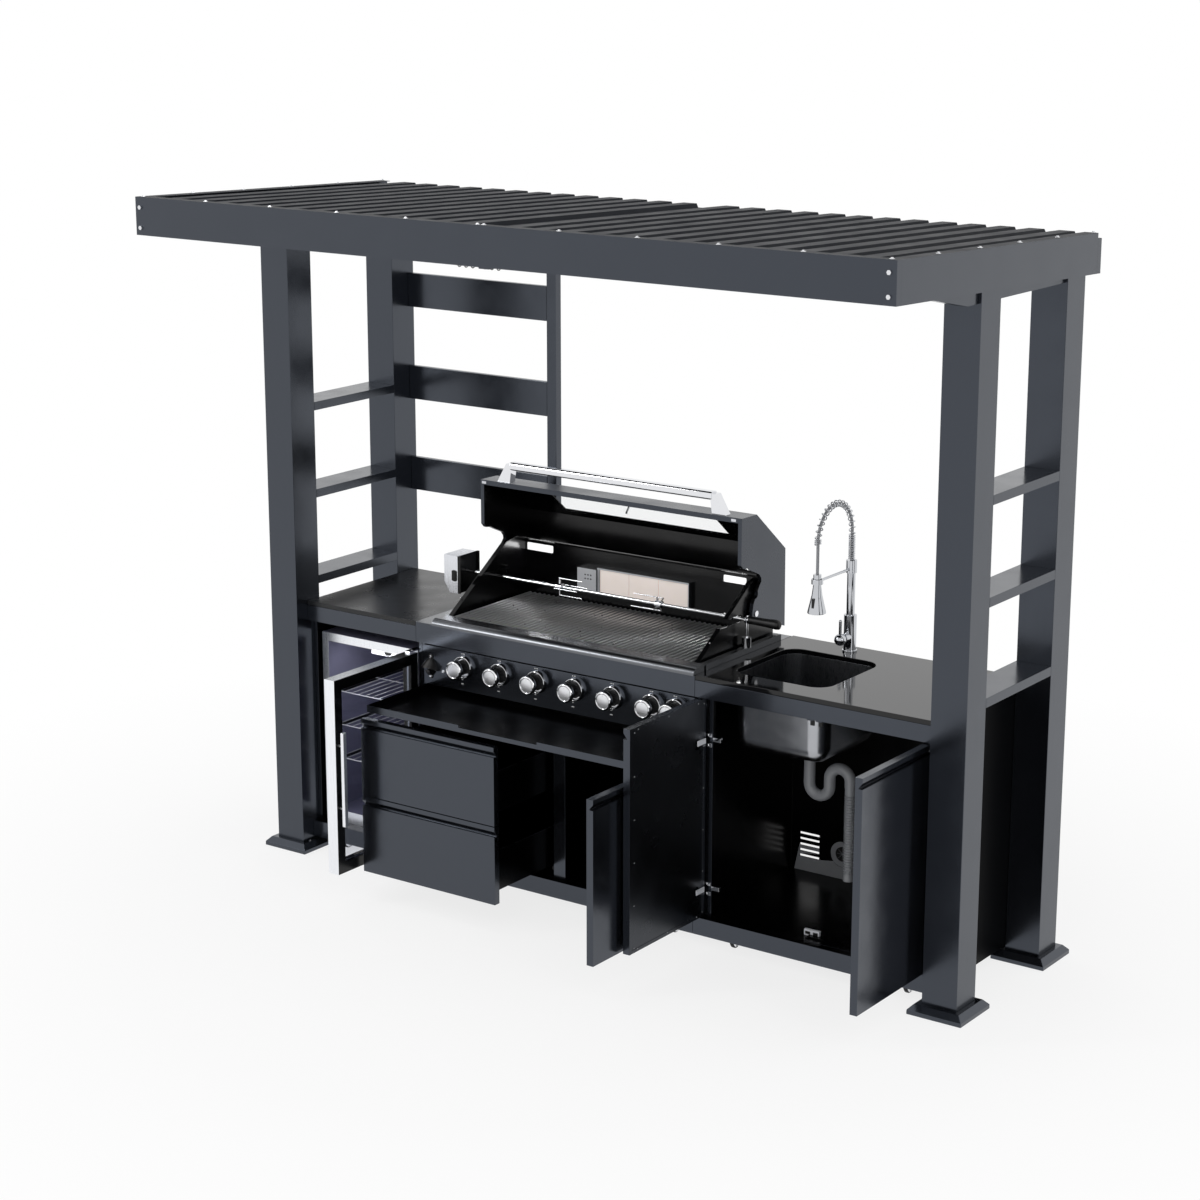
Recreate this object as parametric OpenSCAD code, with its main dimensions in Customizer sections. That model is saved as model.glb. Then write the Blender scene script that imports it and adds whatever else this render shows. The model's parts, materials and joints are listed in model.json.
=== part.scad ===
// Outdoor kitchen island under a sloped metal roof, with a grill, a fridge, a sink and storage.
// Origin: on the floor, under the middle of the roof. +X runs to the sink end, -Y is the cook's side.

/* [Frame and roof] */
// Room behind the cabinets, up to the back of the posts
back_room = 32; // [28:1:80]
// Side of a square post
post_s = 120; // [110:1:122]
// Wall of a post
post_wall = 3; // [2:0.5:5]
// Height of the roof's front edge
roof_h = 2372; // [2340:2:2500]
// Fall of the roof from its front edge to its back edge
roof_fall = 44; // [24:2:70]
// Roof beyond the posts at the front
roof_front = 550; // [500:5:620]
// Roof beyond the posts at the back
roof_back = 33; // [31:1:60]
// Roof beyond the posts at each side
roof_side = 32; // [20:1:60]
// Height of the boards round the roof
fascia_h = 122; // [100:2:140]
// Thickness of the front and back boards
fascia_t = 25; // [18:1:30]
// Width of the flat strip screwed along the roof's edge
strip_w = 45; // [35:1:60]
// Distance from rib to rib of the roof sheets
rib_pitch = 101; // [90:1:120]
// Height of a roof rib
rib_h = 13; // [8:1:18]
// Underside of the roof beams below the roof's front edge
beam_drop = 182; // [162:2:212]
// Thickness of a roof beam
beam_t = 40; // [30:1:50]
// Width of the border of a base plate round its post
base_lip = 34; // [25:1:45]
// Height of a base plate with its bevelled cover
base_h = 32; // [26:1:45]

/* [Shelves and slats] */
// Top of the lowest side shelf above the counter
shelf_up = 79; // [43:2:93]
// Rise from one side shelf to the next
shelf_rise = 310; // [280:2:330]
// Thickness of a side shelf
shelf_t = 30; // [20:1:40]
// Height of a back slat
slat_h = 122; // [90:2:140]
// Top of the lowest back slat above the counter
slat_up = 423; // [383:2:463]
// Top of the highest back slat below the roof beams
slat_drop = 178; // [170:2:200]
// Length of the back slats
slat_len = 622; // [600:2:680]

/* [Cabinets] */
// Front of the doors behind the front of the posts
setback = 55; // [50:1:70]
// Depth of the cabinets with their doors
cab_d = 585; // [575:1:590]
// Width of the bay for the fridge
fridge_bay_w = 494; // [492:1:520]
// Width of the bay for the grill
grill_w = 1147; // [1140:1:1180]
// Width of the bay for the sink
sink_bay_w = 879; // [859:5:1000]
// Underside of the cabinets
cab_z = 40; // [35:1:50]
// Top of the bottom band and of the cabinet floors
floor_z = 100; // [96:1:110]
// Height of the band above the fronts
band_h = 56; // [46:1:61]
// Height of the counter's top face
counter_z = 917; // [900:1:930]
// Thickness of the counter
counter_t = 16; // [10:1:20]
// Thickness of the cabinet walls
wall_t = 14; // [10:1:15]
// Thickness of a door or a drawer front
door_t = 25; // [22:1:26]
// Gap round a door or a drawer front
reveal = 3; // [2:0.5:4]
// Depth of the finger groove along the top of a front
groove_d = 13; // [8:1:15]
// Width of the two drawers
drawer_w = 565; // [540:1:570]
// Room between the drawer fronts and the control panel, where the drip tray runs
tray_room = 49; // [47:1:60]
// Travel of a drawer
drawer_travel = 304; // [250:2:320]
// Length of a drawer box
drawer_len = 450; // [400:2:470]
// Height of the sides of a drawer box
drawer_side_h = 140; // [100:2:160]
// Caster wheel diameter
wheel_d = 60; // [50:1:64]

/* [Grill] */
// Underside of the control panel below the underside of the top band
panel_drop = 150; // [145:1:155]
// Height of the control panel
panel_h = 138; // [130:1:145]
// First knob from the left end of the control panel
knob_left = 191; // [186:1:196]
// Seventh knob from the right end of the control panel
knob_right = 85; // [80:1:90]
// Spacing of the sixth and seventh knobs, which stand closer than the rest
knob_pair = 93.5; // [92:0.5:100]
// Height of the knob axes above the panel's underside
knob_up = 86; // [75:1:90]
// Diameter of a knob's chrome cap
knob_d = 65; // [55:1:70]
// Diameter of a knob bezel
bezel_d = 80; // [76:1:90]
// Diameter of a valve stem
stem_d = 8; // [6:0.5:10]
// Cooking surface above the counter
grate_up = 21; // [17:1:22]
// Distance from rod to rib of the cooking grates
rod_pitch = 20.5; // [14:0.5:24]
// Diameter of a grate rod
rod_d = 9; // [6:0.5:10]
// Room from the left end of the grill to the hood
hood_left = 64; // [63:1:67]
// Room from the hood to the right end of the grill
hood_right = 13; // [12:1:16]
// Thickness of a hood end cap
cap_t = 14; // [10:1:15]
// Thickness of the hood's sheet
skin_t = 3; // [2:0.5:4]
// Width of a firebox side plate
plate_t = 18; // [12:1:18]
// Diameter of a hood hinge pin
hood_pin_d = 12; // [8:1:14]
// Diameter of the spit rod
spit_d = 10; // [8:0.5:12]
// Spit above the cooking surface
spit_up = 93; // [90:1:96]
// Height of the drip tray
tray_h = 24; // [20:1:28]
// Travel of the drip tray
tray_travel = 290; // [240:5:300]

/* [Fridge] */
// Room beside the fridge, next to the post
fridge_left = 25; // [22:1:30]
// Room beside the fridge, next to the grill, with the cabinet wall
fridge_right = 31; // [28:1:36]
// Room above the fridge, up to the top band
fridge_room = 47; // [35:1:65]
// Wall of the fridge body
fridge_wall = 28; // [24:1:34]
// Thickness of the fridge door
fridge_door_t = 44; // [40:1:45]
// Width of the fridge door's frame
fridge_rail = 38; // [30:1:46]

/* [Sink] */
// Width of the sink cut-out
sink_w = 350; // [320:2:380]
// Depth of the sink cut-out, front to back
sink_d = 365; // [340:1:370]
// Corner radius of the sink
sink_r = 60; // [50:1:70]
// Depth of the bowl below the counter
bowl_h = 246; // [200:2:260]
// Outer diameter of the waste pipe
pipe_d = 38; // [34:1:40]
// Radius of the trap's bends
trap_r = 38; // [37:0.5:42]
// Distance from rib to rib of the drain hose
hose_pitch = 13; // [11:0.5:16]
// Outer diameter of the faucet's column
column_d = 28; // [24:1:32]
// Radius of the faucet's arch
arch_r = 107.5; // [100:0.5:115]
// Diameter of the faucet's inner hose
faucet_hose_d = 10; // [8:0.5:12]
// Diameter of the spring wire
wire_d = 4; // [3:0.25:4.5]
// Mean diameter of the spring's curls
curl_d = 20; // [18.5:0.5:22]

/* [Hidden] */
$fn = 48;

// Gap between pieces that rest against each other, and radial play of a pin in its hole
seam = 0.3;
play = 0.05;

charcoal = [0.16, 0.17, 0.19];
black = [0.07, 0.07, 0.08];
steel = [0.75, 0.76, 0.78];
stone = [0.05, 0.05, 0.06];
white = [0.93, 0.93, 0.92];

// Heights that follow the counter and the roof
under_counter = counter_z - counter_t;
band_z = under_counter - band_h;
panel_z = band_z - panel_drop;
knob_z = panel_z + knob_up;
grate_z = counter_z + grate_up;
spit_z = grate_z + spit_up;
fridge_z = band_z - fridge_room;
shelf_z = counter_z + shelf_up;
beam_z = roof_h - beam_drop;
slat_z = counter_z + slat_up;
slat_rise = (beam_z - slat_drop - slat_z) / 2;
drawer_h = (panel_z - tray_room - floor_z) / 2 - reveal;

// Plan of the frame
inner_x = (fridge_bay_w + grill_w + sink_bay_w) / 2;
post_x = inner_x + post_s;
frame_d = setback + cab_d + back_room;
roof_x = post_x + roof_side;
roof_d = roof_front + frame_d + roof_back;
roof_y = roof_d / 2;
front_y = roof_front - roof_y;
back_y = front_y + frame_d;
rear_post_y = back_y - post_s;
strip_t = 2;
sheet_t = 1;

// Height of the roof boards' top face over a place y
function roof_z(y) = roof_h - roof_fall * (y + roof_y) / roof_d;
// Underside of the ribbed sheets over a place y
function under_z(y) = roof_z(y) - rib_h - sheet_t - 2 * seam;

// Plan of the cabinets
cab_f = front_y + setback;
door_b = cab_f + door_t;
band_d = door_t + 7;
carc_f = cab_f + band_d;
cab_b = cab_f + cab_d;
counter_b = cab_b + 10;
seam_l = fridge_bay_w - inner_x;
seam_r = seam_l + grill_w;
grill_x = (seam_l + seam_r) / 2;
door_z = floor_z + reveal;
door_top = band_z - reveal;
back_t = 3;

// Upright between the drawers and the middle cupboard, and the fronts beside it
drawer_x = seam_l + 4;
upright_x = drawer_x + drawer_w - reveal;
upright_w = 48;
middle_x0 = drawer_x + drawer_w + 8;
middle_x1 = seam_r - reveal;
drawer_top = floor_z + 2 * (reveal + drawer_h);

// Swing doors turn on pins near their front corner
pin_in = 12;
pin_back = 8.7;
pin_d = 8;
pin_len = 15;

// Grill
panel_y = door_b - 2;
firebox_f = door_b + 30;
hood_half = (grill_w - hood_left - hood_right) / 2;
hood_x = seam_l + hood_left + hood_half;
plate_half = hood_half - cap_t - 6;
firebox_b = cab_b - 65;
pivot_y = firebox_b - 139;
pivot_z = grate_z + 98;
spit_y = pivot_y - 66;
knob_x = seam_l + knob_left;
knob_pitch = (grill_w - knob_left - knob_right - knob_pair) / 5;
cap_y = front_y + 15;

// Fridge
fridge_x0 = fridge_left - inner_x;
fridge_x1 = seam_l - fridge_right;
fridge_f = cab_f + fridge_door_t + 2;
fridge_base = floor_z + seam;
fridge_b = cab_b - 40;
fridge_pin_in = 7.5;
fridge_pin_back = fridge_door_t / 2 - 0.5;

// Sink and faucet
sink_x = seam_r + 244;
sink_y = cab_f + cab_d / 2 - 10;
faucet_x = sink_x + 10;
column_y = cab_b - 50;
spray_y = column_y - 2 * arch_r;
arch_z = counter_z + 407;

// A block from its lowest and highest corner along each axis
module span(x, y, z) {
  translate([x[0], y[0], z[0]]) cube([x[1] - x[0], y[1] - y[0], z[1] - z[0]]);
}

// A profile of (y, z) points run along X, and one of (x, z) points run along Y
module along_x(x0, x1) {
  translate([x0, 0, 0]) rotate([90, 0, 90]) linear_extrude(x1 - x0) children();
}
module along_y(y0, y1) {
  translate([0, y1, 0]) rotate([90, 0, 0]) linear_extrude(y1 - y0) children();
}
// A round bar from y0 to y1, or from x0 to x1
module bar_y(x, z, y0, y1, d) {
  translate([x, y0, z]) rotate([-90, 0, 0]) cylinder(d = d, h = y1 - y0);
}
module bar_x(y, z, x0, x1, d) {
  translate([x0, y, z]) rotate([0, 90, 0]) cylinder(d = d, h = x1 - x0);
}
module both_sides() {
  children();
  mirror([1, 0, 0]) children();
}
// A flat rounded rectangle about the origin
module round_rect(w, d, r) {
  square([w - 2 * r, d], center = true);
  square([w, d - 2 * r], center = true);
  for (sx = [-1, 1], sy = [-1, 1])
    translate([sx * (w / 2 - r), sy * (d / 2 - r)]) circle(r);
}

// Points of an open line moved sideways by t, with mitred corners, so that it becomes a sheet's section
function unit(v) = v / norm(v);
function left_of(v) = [-v[1], v[0]];
function side_at(p, i) =
  i == 0 ? left_of(unit(p[1] - p[0]))
  : i == len(p) - 1 ? left_of(unit(p[i] - p[i - 1]))
  : let (a = left_of(unit(p[i] - p[i - 1])), b = left_of(unit(p[i + 1] - p[i]))) (a + b) / (1 + a * b);
function shifted(p, t) = [for (i = [0 : len(p) - 1]) p[i] + t * side_at(p, i)];
function reversed(p) = [for (i = [len(p) - 1 : -1 : 0]) p[i]];
function sheet_section(p, t) = concat(p, reversed(shifted(p, t)));

// Frame

module posts() {
  color(charcoal) both_sides() {
    post(front_y);
    post(rear_post_y);
  }
}
module post(y) {
  top = under_z(y + post_s) - seam;
  difference() {
    span([inner_x, post_x], [y, y + post_s], [base_foot, top]);
    span([inner_x + post_wall, post_x - post_wall], [y + post_wall, y + post_s - post_wall],
         [base_foot - 1, top + 1]);
  }
}

// Base plates: a flat foot with a bevelled cover that the post stands in
base_foot = 8;
base_edge = 14;
module base_plates() {
  color(black) both_sides() {
    base_plate(front_y);
    base_plate(rear_post_y);
  }
}
module base_plate(y) {
  w = post_s + 2 * base_lip;
  ledge = post_s + base_lip;
  translate([post_x - post_s / 2, y + post_s / 2, 0]) difference() {
    intersection() {
      translate([0, w / 2, 0]) rotate([90, 0, 0]) linear_extrude(w) bevel_section(w, ledge);
      translate([-w / 2, 0, 0]) rotate([90, 0, 90]) linear_extrude(w) bevel_section(w, ledge);
    }
    translate([0, 0, base_foot + 50]) cube([post_s + 2 * seam, post_s + 2 * seam, 100], center = true);
  }
}
module bevel_section(w, ledge) {
  polygon([[-w / 2, 0], [w / 2, 0], [w / 2, base_edge], [ledge / 2, base_h], [-ledge / 2, base_h],
           [-w / 2, base_edge]]);
}

// Roof beams: side beams between the posts, tapered tails to the front, and cross beams
tail_rise = 0.2;
beam_x = post_x - 10;
tail_y = front_y - 64;
purlin_y = front_y - 320;
module roof_beams() {
  inside = beam_x - beam_t;
  front_board = fascia_t - roof_y + seam;
  cross_x = inside - seam;
  color(charcoal) {
    both_sides() {
      along_x(inside, beam_x) side_beam(front_y + post_s + seam, rear_post_y - seam, beam_z, beam_z);
      along_x(inside, beam_x) polygon([
        [front_y - seam, beam_z], [tail_y, beam_z], [front_board, tail_z(front_board)],
        [front_board, under_z(front_board)], [front_y - seam, under_z(front_y)]
      ]);
    }
    cross_beam(purlin_y, tail_z(purlin_y), cross_x);
    cross_beam(front_y + post_s / 2, beam_z, inner_x - seam);
    cross_beam(back_y - beam_t, beam_z, inner_x - seam);
    for (part = [[front_board, purlin_y - seam, tail_z(purlin_y)],
                 [purlin_y + beam_t + seam, front_y + post_s / 2 - seam, beam_z + 40],
                 [front_y + post_s / 2 + beam_t + seam, back_y - beam_t - seam, beam_z + 40]])
      along_x(-beam_t / 2, beam_t / 2) side_beam(part[0], part[1], part[2], part[2]);
  }
}
function tail_z(y) = beam_z + tail_rise * (tail_y - y);
module side_beam(y0, y1, z0, z1) {
  polygon([[y0, z0], [y1, z1], [y1, under_z(y1)], [y0, under_z(y0)]]);
}
module cross_beam(y, z, x) {
  along_x(-x, x) side_beam(y, y + beam_t, z, z);
}

// Roof boards: the front and back boards cover the ends of the side boards
module roof_fascias() {
  side_t = roof_side - seam;
  color(charcoal) {
    along_x(-roof_x, roof_x) board(-roof_y, fascia_t - roof_y, 0);
    along_x(-roof_x, roof_x) board(roof_y - fascia_t, roof_y, rib_h + 2 * sheet_t);
    both_sides() {
      along_x(roof_x - side_t, roof_x) board(fascia_t - roof_y + seam, roof_y - fascia_t - seam, 0);
      along_x(seam / 2, roof_x) strip(-roof_y, strip_w - roof_y);
      along_x(roof_x - strip_w, roof_x) strip(strip_w - roof_y + seam, roof_y - fascia_t - seam);
    }
  }
}
module board(y0, y1, drop) {
  polygon([[y0, roof_z(y0) - fascia_h], [y1, roof_z(y1) - fascia_h], [y1, roof_z(y1) - drop],
           [y0, roof_z(y0) - drop]]);
}
module strip(y0, y1) {
  polygon([[y0, roof_z(y0)], [y1, roof_z(y1)], [y1, roof_z(y1) + strip_t], [y0, roof_z(y0) + strip_t]]);
}

// Roof sheets: trapezoid ribs that run from front to back, under the strip
module roof_sheets() {
  width = post_x - 1;
  ribs = floor(width / rib_pitch);
  margin = (width - ribs * rib_pitch) / 2;
  rib_foot = 63;
  rib_top = 50;
  line = concat(
    [[seam, 0]],
    [for (i = [0 : ribs - 1], p = [[-rib_foot / 2, 0], [-rib_top / 2, rib_h], [rib_top / 2, rib_h],
                                   [rib_foot / 2, 0]])
      [seam + margin + (i + 0.5) * rib_pitch + p[0], p[1]]],
    [[width, 0]]
  );
  tilt = atan(roof_fall / roof_d);
  y0 = fascia_t - roof_y + 2 * seam;
  length = (roof_y - y0) / cos(tilt) - 1;
  color(charcoal) both_sides()
    translate([0, y0, roof_z(y0) - rib_h - sheet_t - seam]) rotate([-tilt, 0, 0])
      along_y(0, length) polygon(sheet_section(line, sheet_t));
}

// Screws of the roof strip, bolts of the corner boards and screws of the base plates
module frame_screws() {
  tilt = atan(roof_fall / roof_d);
  color(steel) both_sides() {
    for (i = [0 : 5])
      roof_screw(12 + i * (roof_x - 36) / 5, 14 - roof_y, tilt);
    for (i = [1 : 5])
      roof_screw(roof_x - 14, i * (roof_d - 40) / 5 - roof_y + 8, tilt);
    for (end = [-1, 1], z = [fascia_h / 5, fascia_h * 0.74])
      translate([roof_x - 22, end * (roof_y + seam), roof_z(end * roof_y) - fascia_h + z])
        rotate([end * -90, 0, 0]) cylinder(d = 15, h = 6, $fn = 6);
    for (y = [front_y, rear_post_y], dy = [-1, 1])
      translate([inner_x - base_lip / 4, y + post_s / 2 + dy * 35, base_h]) cylinder(d = 7, h = 3);
  }
}
module roof_screw(x, y, tilt) {
  translate([x, y, roof_z(y) + strip_t + seam]) rotate([-tilt, 0, 0]) union() {
    cylinder(d = 16, h = 1.5);
    cylinder(d = 9, h = 5, $fn = 6);
  }
}

// Shelves: folded pans between the front and rear posts
module side_shelves() {
  lip = 2;
  color(charcoal) both_sides() for (i = [0 : 2]) {
    top = shelf_z + i * shelf_rise;
    difference() {
      span([inner_x, post_x], [front_y + post_s + seam, rear_post_y - seam], [top - shelf_t, top]);
      span([inner_x + lip, post_x - lip], [front_y + post_s + seam + lip, rear_post_y - seam - lip],
           [top - shelf_t - 1, top - lip]);
    }
  }
}

// Slats behind the fridge end, and the thin upright behind the cabinets that carries their free ends
slat_t = 20;
slat_y = cab_b + seam;
module back_slats() {
  end_x = slat_len - inner_x;
  color(charcoal) {
    for (i = [0 : 2])
      span([seam - inner_x, end_x], [slat_y, slat_y + slat_t],
           [slat_z + i * slat_rise - slat_h, slat_z + i * slat_rise]);
    span([end_x + seam, end_x + 40], [slat_y, back_y], [0, beam_z - seam]);
  }
}

// Rail with six hooks for tools, under the roof
module utensil_hooks() {
  hook_x = 250 - inner_x;
  rail_z = beam_z - 81;
  bend_r = 10;
  color(black) union() {
    span([seam - inner_x, slat_len - inner_x], [slat_y, slat_y + 12], [rail_z - 15, rail_z + 15]);
    for (group = [0, 115], i = [0 : 2])
      translate([hook_x + group + 30 * i, slat_y - 1, rail_z - 45]) {
        translate([0, -2, 0]) cylinder(d = 4, h = 45, $fn = 16);
        translate([0, -2, 43]) rotate([-90, 0, 0]) cylinder(d = 4, h = 8, $fn = 16);
        translate([0, -2 - bend_r, 0]) rotate([180, 90, 0]) rotate([0, 0, -90])
          rotate_extrude(angle = 180, $fn = 32) translate([bend_r, 0]) circle(2, $fn = 16);
      }
  }
}

// Cabinets

// A cabinet of separate panels: floor, back and the two bands at the front
module carcass(x0, x1, left_t, right_t, top_z) {
  span([x0, x0 + left_t], [carc_f, cab_b], [cab_z, under_counter - seam]);
  span([x1 - right_t, x1], [carc_f, cab_b], [cab_z, under_counter - seam]);
  difference() {
    span([x0, x1], [cab_f, carc_f - seam], [cab_z, floor_z]);
    children();
  }
  difference() {
    span([x0, x1], [cab_f, carc_f - seam], [band_z, top_z - seam]);
    children();
  }
  span([x0 + left_t + seam, x1 - right_t - seam], [carc_f, cab_b - back_t - seam],
       [floor_z - wall_t, floor_z]);
}
module back_panel(x0, x1) {
  span([x0, x1], [cab_b - back_t, cab_b], [cab_z, under_counter - seam]);
}

module fridge_cabinet() {
  x0 = seam - inner_x;
  x1 = seam_l - seam;
  color(black) {
    carcass(x0, x1, wall_t, wall_t, under_counter);
    back_panel(x0 + wall_t + seam, x1 - wall_t - seam);
  }
}

// The grill cabinet also has the centre upright, a partition behind it and the drawer runners
module grill_cabinet() {
  x0 = seam_l + seam;
  x1 = seam_r - seam;
  part_x0 = upright_x;
  part_x1 = upright_x + wall_t;
  top = panel_z - tray_h - 20;
  color(black) {
    carcass(x0, x1, wall_t, wall_t, counter_z - trim_t)
      door_pins(middle_x1 - pin_in, drawer_top, play);
    difference() {
      span([middle_x1 - pin_in - 12, x1], [cab_f, carc_f - seam], [drawer_top + 2, drawer_top + 12]);
      door_pins(middle_x1 - pin_in, drawer_top, play);
    }
    tray_runner(x0 + wall_t + seam, 1);
    tray_runner(x1 - wall_t - seam, -1);
    difference() {
      back_panel(x0 + wall_t + seam, x1 - wall_t - seam);
      bar_y(gas_inlet_x, knob_z, cab_b - 10, cab_b + 10, 40);
    }
    span([part_x0, part_x0 + upright_w], [door_b + seam, door_b + 20], [floor_z + seam, top]);
    span([part_x0, part_x1], [door_b + 20 + seam, cab_b - back_t - seam], [floor_z + seam, top]);
    for (i = [0, 1]) {
      runner(x0 + wall_t + seam, 1, i);
      runner(part_x0 - seam, -1, i);
    }
  }
}
module tray_runner(x, way) {
  z = panel_z - 3 - tray_h - seam;
  translate([x, 0, 0]) scale([way, 1, 1]) along_y(carc_f + 1, drawer_len + 40)
    polygon([[0, z - 3], [18, z - 3], [18, z], [2, z], [2, z + 16], [0, z + 16]]);
}
module runner(x, way, i) {
  side_z = drawer_z(i) + box_lift;
  run = 12;
  translate([x, 0, 0]) scale([way, 1, 1]) along_y(carc_f + 1, drawer_len + 20)
    polygon([[0, side_z - 14], [run, side_z - 14], [run, side_z - seam], [2, side_z - seam],
             [2, side_z + 30], [0, side_z + 30]]);
}

// The sink cabinet has a front stile beside the hinges, a filler at the post, louvres and a pipe hole
module sink_cabinet() {
  x0 = seam_r + seam;
  x1 = inner_x - seam;
  color(black) {
    carcass(x0, x1, wall_t + 2, wall_t - 4, under_counter) {
      door_pins(sink_door_x0 + pin_in, door_top, play);
      door_pins(sink_door_x3 - pin_in, door_top, play);
    }
    difference() {
      back_panel(x0 + wall_t + 2 + seam, x1 - wall_t + 4 - seam);
      for (i = [0 : 4])
        span([sink_x - 192, sink_x - 117], [cab_b - 10, cab_b + 10],
             [floor_z + 50 + 20 * i, floor_z + 57 + 20 * i]);
      bar_y(sink_x - 23, floor_z + 90, cab_b - 10, cab_b + 10, 60);
    }
    span([x0 + wall_t + 2 + seam, x0 + wall_t + 36], [carc_f, carc_f + 18], [floor_z + seam, band_z - seam]);
    span([sink_door_x3 + reveal + 1, x1], [cab_f, carc_f - seam], [floor_z + seam, band_z - seam]);
    grommet(sink_x - 23, floor_z + 90);
    for (dx = [-1, 1])
      span([sink_mid_x + dx * 16 - 11, sink_mid_x + dx * 16 + 11], [door_b + seam, carc_f - 2],
           [band_z - 12 - seam, band_z - seam]);
    span([sink_mid_x - 30, sink_mid_x + 28], [carc_f + 25, carc_f + 50], [floor_z + seam, floor_z + 6]);
  }
}
module grommet(x, z) {
  translate([x, cab_b - back_t - seam, z]) rotate([90, 0, 0]) difference() {
    cylinder(r = 46, h = 6);
    translate([0, 0, -1]) cylinder(r = 26, h = 8);
  }
}

// Doors

// Finger groove along the top edge of a front: a slope from the lip down to a flat
groove_lip = 15;
groove_h = 19;
module front_section(z0, z1) {
  polygon([[cab_f, z0], [door_b, z0], [door_b, z1], [cab_f, z1], [cab_f, z1 - groove_lip],
           [cab_f + groove_d, z1 - groove_lip - groove_h + 3], [cab_f + groove_d, z1 - groove_lip - groove_h],
           [cab_f, z1 - groove_lip - groove_h]]);
}
// A swing door's two pins, or the holes for them when the play isn't 0
module door_pins(x, top, extra) {
  for (z = [door_z - pin_len, top - 1])
    translate([x, cab_f + pin_back, z - extra * 10])
      cylinder(d = pin_d + 2 * extra, h = pin_len + 1 + extra * 20);
}
// A closed swing door, turned a quarter about its pins as the photograph shows it
module swing_door(x0, x1, pin_x) {
  way = pin_x > (x0 + x1) / 2 ? 1 : -1;
  inset = 12;
  translate([pin_x, cab_f + pin_back, 0]) rotate([0, 0, way * 90]) translate([-pin_x, -cab_f - pin_back, 0]) {
    difference() {
      along_x(x0, x1) front_section(door_z, door_top_of(x0));
      cup(pin_x - way * 35, door_z + 95);
      cup(pin_x - way * 35, door_top_of(x0) - 145);
      span([x0 + inset, x1 - inset], [door_b - 1, door_b + 1], [door_z + inset, door_top_of(x0) - inset]);
    }
    door_pins(pin_x, door_top_of(x0), 0);
  }
}
function door_top_of(x0) = x0 < seam_r ? drawer_top : door_top;
module cup(x, z) {
  translate([x, door_b - 11, z]) rotate([-90, 0, 0]) cylinder(d = 35, h = 20);
}

sink_mid_x = (seam_r + reveal + inner_x - 24) / 2;
sink_door_x0 = seam_r + reveal;
sink_door_x1 = sink_mid_x - reveal / 2;
sink_door_x2 = sink_mid_x + reveal / 2;
sink_door_x3 = inner_x - 24;
module middle_door() {
  color(black) swing_door(middle_x0, middle_x1, middle_x1 - pin_in);
}
module sink_left_door() {
  color(black) swing_door(sink_door_x0, sink_door_x1, sink_door_x0 + pin_in);
}
module sink_right_door() {
  color(black) swing_door(sink_door_x2, sink_door_x3, sink_door_x3 - pin_in);
}

// Drawers, pulled out as the photograph shows them
box_lift = 35;
function drawer_z(i) = floor_z + reveal + i * (drawer_h + reveal);
module drawer(i) {
  z = drawer_z(i);
  x0 = seam_l + seam + wall_t + 8;
  x1 = upright_x - 17;
  side = 2;
  translate([0, -drawer_travel, 0]) {
    along_x(drawer_x, drawer_x + drawer_w) front_section(z, z + drawer_h);
    difference() {
      span([x0, x1], [door_b, door_b + drawer_len], [z + box_lift, z + box_lift + drawer_side_h]);
      span([x0 + side, x1 - side], [door_b - 1, door_b + drawer_len - side],
           [z + box_lift + side, z + box_lift + drawer_side_h + 1]);
    }
  }
}
module upper_drawer() {
  color(black) drawer(1);
}
module lower_drawer() {
  color(black) drawer(0);
}

// Counters

module left_counter() {
  color(black) span([seam - inner_x, seam_l - seam], [cab_f, counter_b], [under_counter, counter_z]);
}
module stone_counter() {
  color(stone) difference() {
    span([seam_r + seam, inner_x - seam], [cab_f, counter_b], [under_counter, counter_z]);
    translate([sink_x, sink_y, under_counter - 1]) linear_extrude(counter_t + 2)
      round_rect(sink_w, sink_d, sink_r);
    translate([faucet_x, column_y, under_counter - 1]) cylinder(d = 35, h = counter_t + 2);
  }
}

// Sink

bowl_t = 1.5;
bowl_rim = 15;
drain_d = 60;
module sink_bowl() {
  top = under_counter - seam;
  base = top - bowl_h;
  color(steel) difference() {
    union() {
      translate([sink_x, sink_y, top - bowl_t]) linear_extrude(bowl_t)
        round_rect(sink_w + 2 * bowl_rim, sink_d + 2 * bowl_rim, sink_r);
      bowl_form(base, top, bowl_t);
    }
    bowl_form(base + bowl_t, top + 1, 0);
    translate([sink_x + 19, sink_y, base - 1]) cylinder(d = drain_d, h = bowl_t + 2);
  }
}
// The outside or the inside of the bowl: round walls with round lower edges
module bowl_form(z0, z1, extra) {
  r = sink_r - 4 + extra;
  hull() for (sx = [-1, 1], sy = [-1, 1])
    translate([sink_x + sx * (sink_w / 2 - sink_r), sink_y + sy * (sink_d / 2 - sink_r), 0]) {
      translate([0, 0, z0 + r]) sphere(r, $fn = 32);
      translate([0, 0, z1 - 1]) cylinder(r = sink_r + extra, h = 1, $fn = 32);
    }
}

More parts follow.
